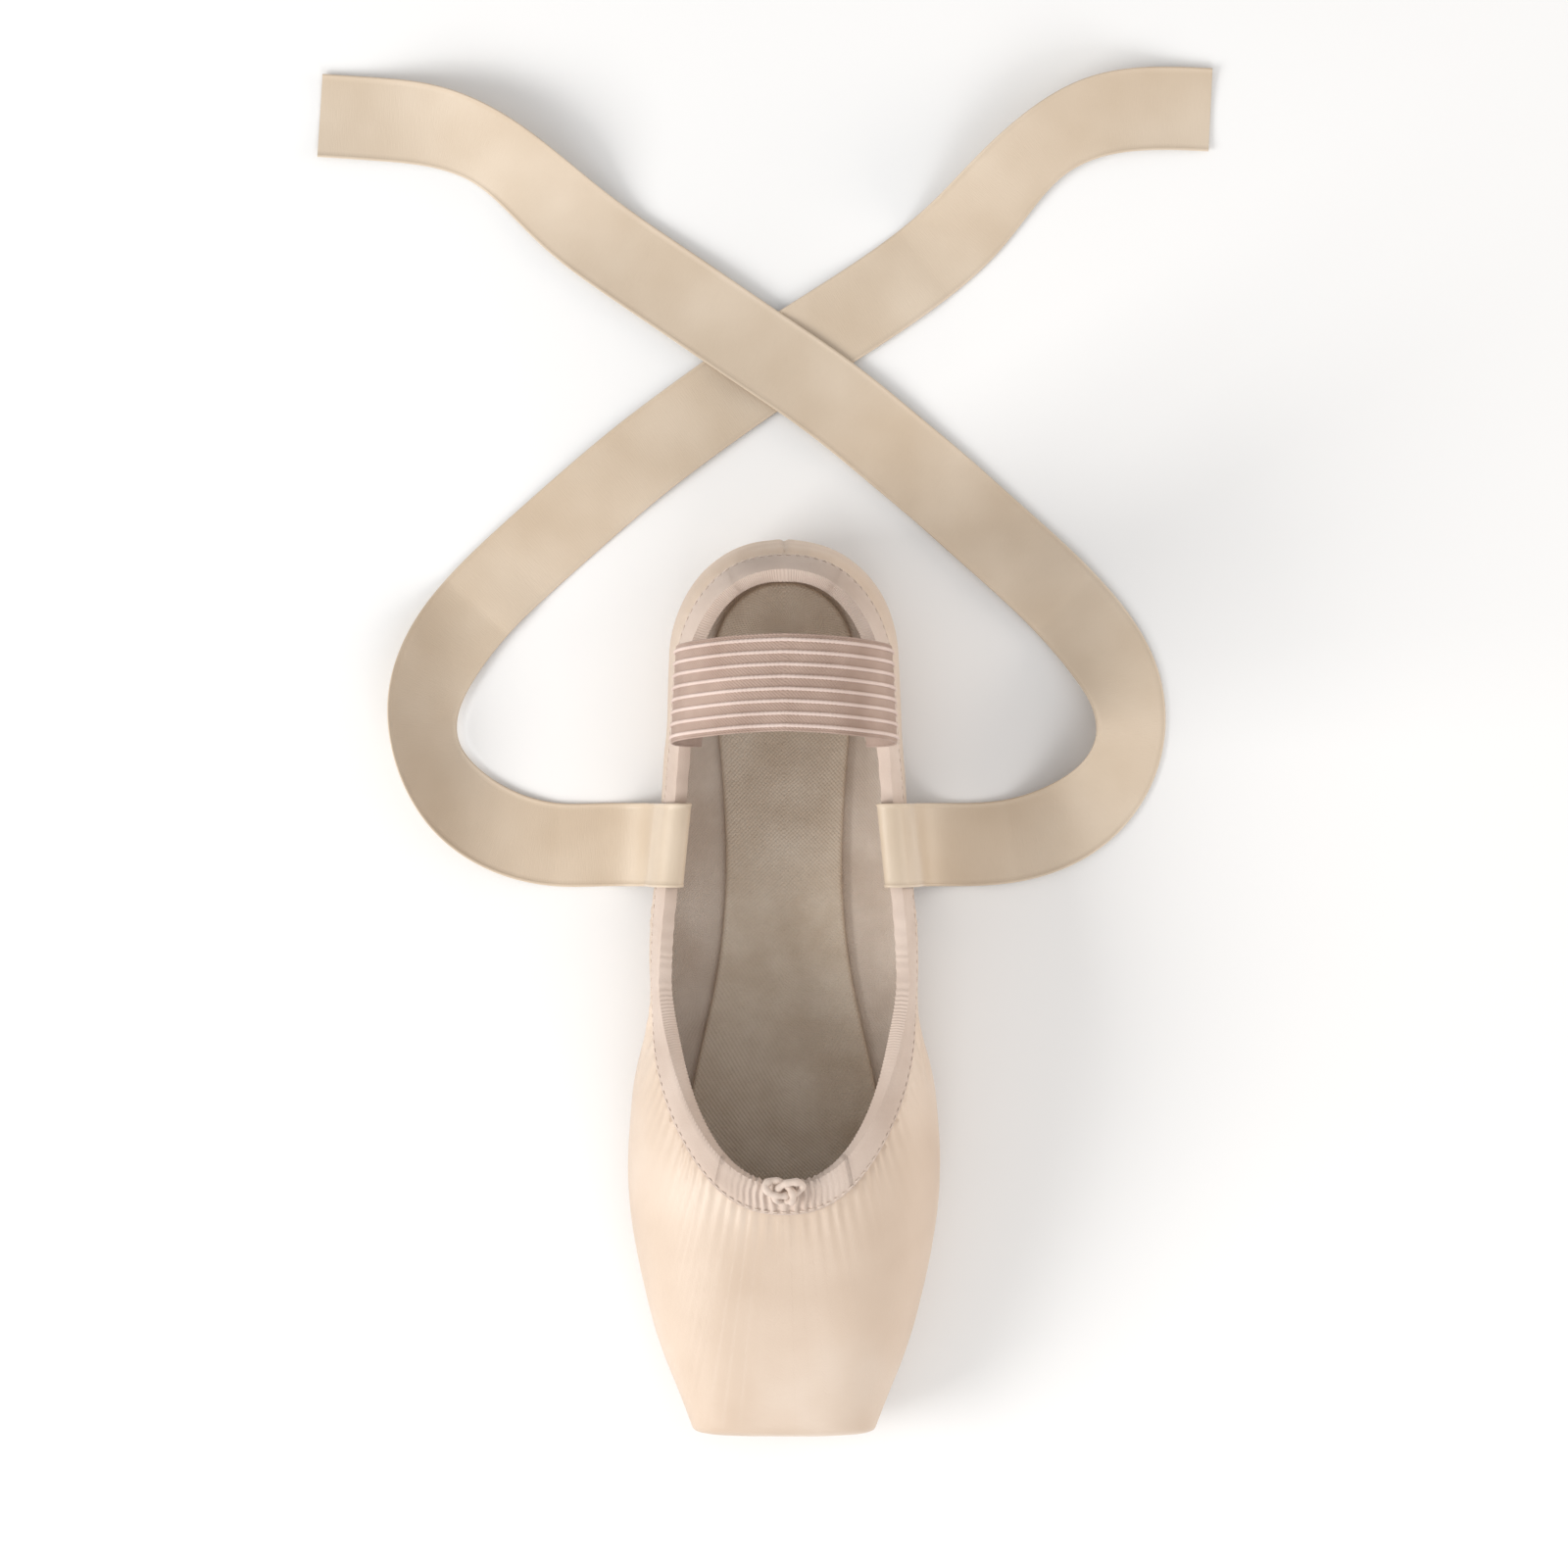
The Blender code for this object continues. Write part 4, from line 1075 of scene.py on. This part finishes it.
def ribbon_route(floor_rows, side):
    """Centres and width directions of a ribbon, from inside the collar to its bare end."""
    rows = np.array(ribbon_rows(floor_rows, side), float)
    keys = arc_lengths(rows[:, :3])
    bend = keys[len(COLLAR_ROUTE) - 1] / keys[-1]
    fine = np.linspace(0, keys[-1], 4 * len(rows) * 12)
    dense = np.column_stack([curve_through(keys, rows[:, k])(fine) for k in range(4)])
    lengths = arc_lengths(dense[:, :3])
    count = int(lengths[-1] / RIBBON_STEP)
    parts = np.linspace(0, 1, count)
    samples = np.column_stack([np.interp(parts * lengths[-1], lengths, c) for c in dense.T])
    lean = np.radians(samples[:, 3:])
    centres = samples[:, :3].copy()
    centres[:, 2] = np.maximum(centres[:, 2], 0) + RIBBON_BED
    centres[:, 2:] += np.abs(np.sin(lean)) * RIBBON_WIDTH / 2
    tangent = unit(np.gradient(centres, axis=0))
    turn = math.radians(RIBBON_TURN)
    on_collar = np.array((math.cos(turn), side * math.sin(turn), 0))
    level = unit(np.cross(tangent, (0, 0, side)))
    eased = np.interp(parts, (RIBBON_TURN_START * bend, bend), (0, 1))[:, None]
    across = on_collar * (1 - eased) + level * eased
    across = unit(across - tangent * np.sum(across * tangent, axis=1, keepdims=True))
    return centres, across * np.cos(lean) + np.cross(tangent, across) * np.sin(lean)


def ribbon_waves(centres, section, seed):
    """How far the ribbon's cloth lifts off the floor: curled edges and slow waves."""
    along = arc_lengths(centres)[:, None]
    across = section[:, 0][None] / (RIBBON_WIDTH / 2)
    on_floor = smooth(along, 0.075, 0.105)
    curl = 0.5 + 0.5 * np.sin(along / 0.019 + 1.7 * seed)
    wave = 0.5 + 0.5 * np.sin(along / 0.0113 + 0.9 * across + 2.3 * seed)
    return on_floor * (0.0011 * curl * across**2 + 0.0006 * wave)


def add_ribbon(name, node, floor_rows, side, material, thread):
    """One satin ribbon with its selvedges and the box of stitches that holds it."""
    centres, across = ribbon_route(floor_rows, side)
    across, face = strip_frame(centres, across)
    section = np.array(
        strip_section(
            RIBBON_WIDTH, RIBBON_HALF_THICKNESS, SELVEDGE_HALF_THICKNESS, SELVEDGE_WIDTH, 22
        )
    )
    grid = strip_grid(centres, across, face, section)
    grid[..., 2] += ribbon_waves(centres, section, 1 + side)
    grid[..., 2] = np.maximum(grid[..., 2], 0.00004)
    grid = place(grid)
    thing = grid_object(name, grid, chart_of(grid), [material], caps=True)
    mount(thing, "ribbon_satin", node)
    rows = []
    along = arc_lengths(centres)
    inward = -face * np.sign(face[:, 1:2] * side)
    surface = centres + inward * RIBBON_HALF_THICKNESS
    sewn = (along > 0.0015) & (along < RIBBON_SEWN)
    for offset in (-0.0092, 0.0092):
        rows.append(stitch_row((surface + across * offset)[sewn], inward[sewn], 0.0022, 0.0015))
    for level in (0.0015, RIBBON_SEWN):
        k = int(np.argmin(np.abs(along - level)))
        line = surface[k] + across[k] * np.linspace(-0.0092, 0.0092, 30)[:, None]
        rows.append(stitch_row(line, np.tile(inward[k], (30, 1)), 0.0022, 0.0015))
    add_stitches(f"{name}_stitches", rows, thread, "ribbon_satin")


def material_of(name, colour, roughness, **constants):
    """A material whose shader has these constant values; returns its tree and shader too."""
    material = bpy.data.materials.new(name)
    material.use_nodes = True
    shader = material.node_tree.nodes["Principled BSDF"]
    shader.inputs["Base Color"].default_value = (*colour, 1)
    shader.inputs["Roughness"].default_value = roughness
    for socket, value in constants.items():
        shader.inputs[socket.replace("_", " ").title().replace("Ior", "IOR")].default_value = value
    return material, material.node_tree, shader


def node(tree, kind, inputs=(), **settings):
    """A node with its settings, and its inputs set to a value or linked to another's output."""
    made = tree.nodes.new(kind)
    for name, value in settings.items():
        setattr(made, name, value)
    for socket, value in dict(inputs).items():
        if isinstance(value, bpy.types.NodeSocket):
            tree.links.new(value, made.inputs[socket])
        else:
            made.inputs[socket].default_value = value
    return made


def chart_noise(tree, scale, detail=3.0):
    """Noise over the piece's chart, stretched by a scale for each direction, in waves a metre."""
    chart = node(tree, "ShaderNodeUVMap", uv_map="chart")
    stretched = node(
        tree, "ShaderNodeMapping", {"Vector": chart.outputs[0], "Scale": (*scale, 1.0)}
    )
    return node(
        tree,
        "ShaderNodeTexNoise",
        {"Vector": stretched.outputs[0], "Scale": 1.0, "Detail": detail},
    ).outputs["Fac"]


def space_noise(tree, size, detail=3.0):
    """Noise through space with features of one size, in metres."""
    where = node(tree, "ShaderNodeTexCoord").outputs["Object"]
    return node(
        tree, "ShaderNodeTexNoise", {"Vector": where, "Scale": 1 / size, "Detail": detail}
    ).outputs["Fac"]


def between(tree, fac, low, high):
    """A value from 0 to 1 mapped to a range."""
    return node(
        tree, "ShaderNodeMapRange", {"Value": fac, "To Min": low, "To Max": high}
    ).outputs[0]


def tones(tree, fac, stops):
    """Colours along a value: each stop is a position and a colour."""
    ramp = node(tree, "ShaderNodeValToRGB", {"Fac": fac})
    elements = ramp.color_ramp.elements
    for element, (position, colour) in zip(elements, (stops[0], stops[-1])):
        element.position = position
        element.color = (*colour, 1)
    for position, colour in stops[1:-1]:
        elements.new(position).color = (*colour, 1)
    return ramp.outputs["Color"]


def mixed(tree, fac, first, second, blend="MIX"):
    """Two colours mixed by a value."""
    mix = node(tree, "ShaderNodeMix", data_type="RGBA", blend_type=blend)
    for socket, value in ((0, fac), (6, first), (7, second)):
        if isinstance(value, bpy.types.NodeSocket):
            tree.links.new(value, mix.inputs[socket])
        else:
            mix.inputs[socket].default_value = value if socket == 0 else (*value, 1)
    return mix.outputs[2]


def bumped(tree, height, depth, normal=None):
    """A bump whose full height is a depth in metres."""
    inputs = {"Height": height, "Distance": depth, "Strength": 1.0}
    if normal:
        inputs["Normal"] = normal
    return node(tree, "ShaderNodeBump", inputs).outputs[0]


def weave(tree, pitch_along, pitch_across):
    """A plain weave's height over the chart: crossing threads at two pitches."""
    chart = node(tree, "ShaderNodeUVMap", uv_map="chart").outputs[0]
    parts = node(tree, "ShaderNodeSeparateXYZ", {"Vector": chart})
    waves = []
    for axis, pitch in (("X", pitch_along), ("Y", pitch_across)):
        turned = node(
            tree,
            "ShaderNodeMath",
            {0: parts.outputs[axis], 1: 2 * math.pi / pitch},
            operation="MULTIPLY",
        ).outputs[0]
        waves.append(node(tree, "ShaderNodeMath", {0: turned}, operation="SINE").outputs[0])
    both = node(tree, "ShaderNodeMath", {0: waves[0], 1: waves[1]}, operation="MULTIPLY").outputs[0]
    return node(tree, "ShaderNodeMapRange", {"Value": both, "From Min": -1.0}).outputs[0]


def satin_material():
    """Glossy peach satin: soft mottling, slubs along the weft and a brushed highlight."""
    material, tree, shader = material_of(
        "peach satin",
        (0.60, 0.48, 0.38),
        0.36,
        sheen_weight=0.22,
        sheen_roughness=0.35,
        sheen_tint=(1.0, 0.80, 0.64, 1.0),
        anisotropic=0.45,
        anisotropic_rotation=0.25,
        ior=1.52,
    )
    broad = space_noise(tree, 0.030, 2.0)
    colour = tones(
        tree,
        broad,
        ((0.30, (0.585, 0.455, 0.352)), (0.52, (0.640, 0.510, 0.405)), (0.72, (0.680, 0.560, 0.460))),
    )
    slubs = chart_noise(tree, (160.0, 2600.0), 2.0)
    colour = mixed(tree, between(tree, slubs, 0.0, 0.10), colour, (0.46, 0.34, 0.25))
    tree.links.new(colour, shader.inputs["Base Color"])
    patches = space_noise(tree, 0.012, 3.0)
    tree.links.new(between(tree, patches, 0.30, 0.46), shader.inputs["Roughness"])
    threads = chart_noise(tree, (900.0, 6500.0), 2.0)
    normal = bumped(tree, threads, 0.000035)
    normal = bumped(tree, slubs, 0.00004, normal)
    tree.links.new(normal, shader.inputs["Normal"])
    return material


def cloth_material(name, dark, light, pitch, depth, roughness=0.85):
    """Matt woven cloth: two tones in soft patches over a plain weave."""
    material, tree, shader = material_of(name, light, roughness, sheen_weight=0.15, ior=1.4)
    fac = space_noise(tree, 0.014, 4.0)
    colour = tones(tree, fac, ((0.32, dark), (0.68, light)))
    fine = space_noise(tree, 0.0012, 2.0)
    colour = mixed(tree, between(tree, fine, 0.0, 0.22), colour, dark)
    tree.links.new(colour, shader.inputs["Base Color"])
    normal = bumped(tree, weave(tree, pitch, pitch), depth)
    normal = bumped(tree, fine, depth, normal)
    tree.links.new(normal, shader.inputs["Normal"])
    return material


def binding_material():
    """Matt tape for the ribbed binding: two tones in soft patches, with darker dust-fine fibres."""
    material, tree, shader = material_of(
        "ribbed tape", (0.64, 0.52, 0.44), 0.72, sheen_weight=0.20, ior=1.45
    )
    broad = space_noise(tree, 0.022, 3.0)
    colour = tones(tree, broad, ((0.35, (0.560, 0.445, 0.372)), (0.65, (0.660, 0.545, 0.470))))
    fibres = space_noise(tree, 0.0004, 2.0)
    colour = mixed(tree, between(tree, fibres, 0.0, 0.25), colour, (0.44, 0.33, 0.27))
    tree.links.new(colour, shader.inputs["Base Color"])
    tree.links.new(bumped(tree, fibres, 0.00006), shader.inputs["Normal"])
    return material


def leather_material():
    """Suede-faced sole leather: nap, pores and rubbed paler patches."""
    material, tree, shader = material_of("sole leather", (0.50, 0.36, 0.25), 0.80, ior=1.45)
    broad = space_noise(tree, 0.018, 5.0)
    colour = tones(
        tree, broad, ((0.30, (0.36, 0.245, 0.165)), (0.50, (0.46, 0.325, 0.225)), (0.70, (0.56, 0.42, 0.30)))
    )
    nap = space_noise(tree, 0.0006, 4.0)
    colour = mixed(tree, between(tree, nap, 0.0, 0.30), colour, (0.27, 0.175, 0.115))
    tree.links.new(colour, shader.inputs["Base Color"])
    tree.links.new(between(tree, broad, 0.62, 0.92), shader.inputs["Roughness"])
    normal = bumped(tree, nap, 0.00012)
    normal = bumped(tree, broad, 0.0004, normal)
    tree.links.new(normal, shader.inputs["Normal"])
    return material


def ribbon_material():
    """Soft satin ribbon: duller than the shoe, with fine cross threads."""
    material, tree, shader = material_of(
        "ribbon satin",
        (0.63, 0.52, 0.40),
        0.44,
        sheen_weight=0.20,
        sheen_roughness=0.4,
        anisotropic=0.5,
        ior=1.5,
    )
    broad = space_noise(tree, 0.026, 2.0)
    colour = tones(tree, broad, ((0.30, (0.585, 0.470, 0.350)), (0.70, (0.680, 0.570, 0.450))))
    threads = chart_noise(tree, (5200.0, 260.0), 2.0)
    colour = mixed(tree, between(tree, threads, 0.0, 0.16), colour, (0.48, 0.37, 0.26))
    tree.links.new(colour, shader.inputs["Base Color"])
    tree.links.new(between(tree, broad, 0.36, 0.52), shader.inputs["Roughness"])
    tree.links.new(bumped(tree, threads, 0.00006), shader.inputs["Normal"])
    return material


def thread_material(name, colour):
    """Sewing thread: a twisted, slightly shiny yarn."""
    material, tree, shader = material_of(name, colour, 0.55, sheen_weight=0.3)
    fibres = space_noise(tree, 0.0003, 2.0)
    shaded = mixed(tree, between(tree, fibres, 0.0, 0.35), colour, tuple(0.6 * c for c in colour))
    tree.links.new(shaded, shader.inputs["Base Color"])
    tree.links.new(bumped(tree, fibres, 0.00008), shader.inputs["Normal"])
    return material


def floor_material():
    """The pale, faintly glossy floor."""
    material, tree, shader = material_of("studio floor", (0.90, 0.90, 0.90), 0.30)
    shade = space_noise(tree, 0.9, 1.0)
    tree.links.new(between(tree, shade, 0.24, 0.34), shader.inputs["Roughness"])
    return material


def add_floor():
    mesh = bpy.data.meshes.new("studio_floor")
    half = 12.0
    drop = -0.0001
    corners = [(-half, -half, drop), (half, -half, drop), (half, half, drop), (-half, half, drop)]
    mesh.from_pydata(corners, [], [(0, 1, 2, 3)])
    mesh.materials.append(floor_material())
    thing = bpy.data.objects.new("studio_floor", mesh)
    bpy.context.scene.collection.objects.link(thing)


def add_light(name, direction, distance, size, power, colour, target=(0.0, 0.0, 0.02)):
    """A square soft light that looks at the shoe from a direction."""
    data = bpy.data.lights.new(name, "AREA")
    data.shape = "RECTANGLE"
    data.size, data.size_y = size
    data.energy = power
    data.color = colour
    thing = bpy.data.objects.new(name, data)
    back = Vector(direction).normalized()
    thing.location = Vector(target) + back * distance
    thing.rotation_euler = (-back).to_track_quat("-Z", "Y").to_euler()
    bpy.context.scene.collection.objects.link(thing)


def add_lights():
    """Soft light from the wearer's right and the front, a weaker one opposite, and white all round."""
    add_light("key", (0.30, -1.0, 0.62), 1.5, (0.9, 0.7), 17.0, (1.0, 0.985, 0.96))
    add_light("front", (1.0, 0.15, 0.80), 1.8, (1.1, 0.9), 9.0, (1.0, 1.0, 1.0))
    add_light("rim", (-0.20, 1.0, 0.22), 1.4, (0.9, 0.4), 7.0, (1.0, 0.90, 0.80))
    world = bpy.data.worlds.new("studio")
    world.use_nodes = True
    background = world.node_tree.nodes["Background"]
    background.inputs["Color"].default_value = (1.0, 1.0, 1.0, 1)
    background.inputs["Strength"].default_value = 0.62
    bpy.context.scene.world = world
    bpy.context.scene.view_settings.view_transform = "Standard"


def add_camera():
    """A long lens straight over the shoe, with the toe at the foot of the picture."""
    data = bpy.data.cameras.new("camera")
    data.sensor_width = SENSOR_WIDTH
    data.lens = SENSOR_WIDTH * CAMERA_DISTANCE / VIEW_WIDTH
    thing = bpy.data.objects.new("camera", data)
    thing.location = (*VIEW_CENTRE, VIEW_HEIGHT + CAMERA_DISTANCE)
    thing.rotation_euler = (0, 0, math.radians(90))
    bpy.context.scene.collection.objects.link(thing)
    bpy.context.scene.camera = thing


def main():
    satin = satin_material()
    lining = cloth_material("cotton lining", (0.60, 0.50, 0.42), (0.74, 0.65, 0.57), 0.0009, 0.00010)
    canvas = cloth_material("sock canvas", (0.56, 0.46, 0.36), (0.70, 0.61, 0.51), 0.0011, 0.00014)
    net = cloth_material("elastic net", (0.36, 0.25, 0.20), (0.48, 0.35, 0.29), 0.0009, 0.00016)
    elastic_yarn = cloth_material("elastic yarn", (0.62, 0.48, 0.42), (0.74, 0.60, 0.54), 0.0006, 0.00008)
    tape = binding_material()
    thread = thread_material("pale thread", (0.70, 0.58, 0.49))
    add_camera()
    add_ribbon("satin_ribbon_left", "ribbon_left", FLOOR_ROUTE_LEFT, 1, ribbon_material(), thread)
    add_ribbon("satin_ribbon_right", "ribbon_right", FLOOR_ROUTE_RIGHT, -1, ribbon_material(), thread)
    add_upper([satin, lining])
    add_binding(tape, thread)
    add_knot(tape)
    add_outsole(leather_material(), thread)
    add_insole(canvas)
    add_elastic(net, elastic_yarn, thread)
    add_floor()
    add_lights()


main()
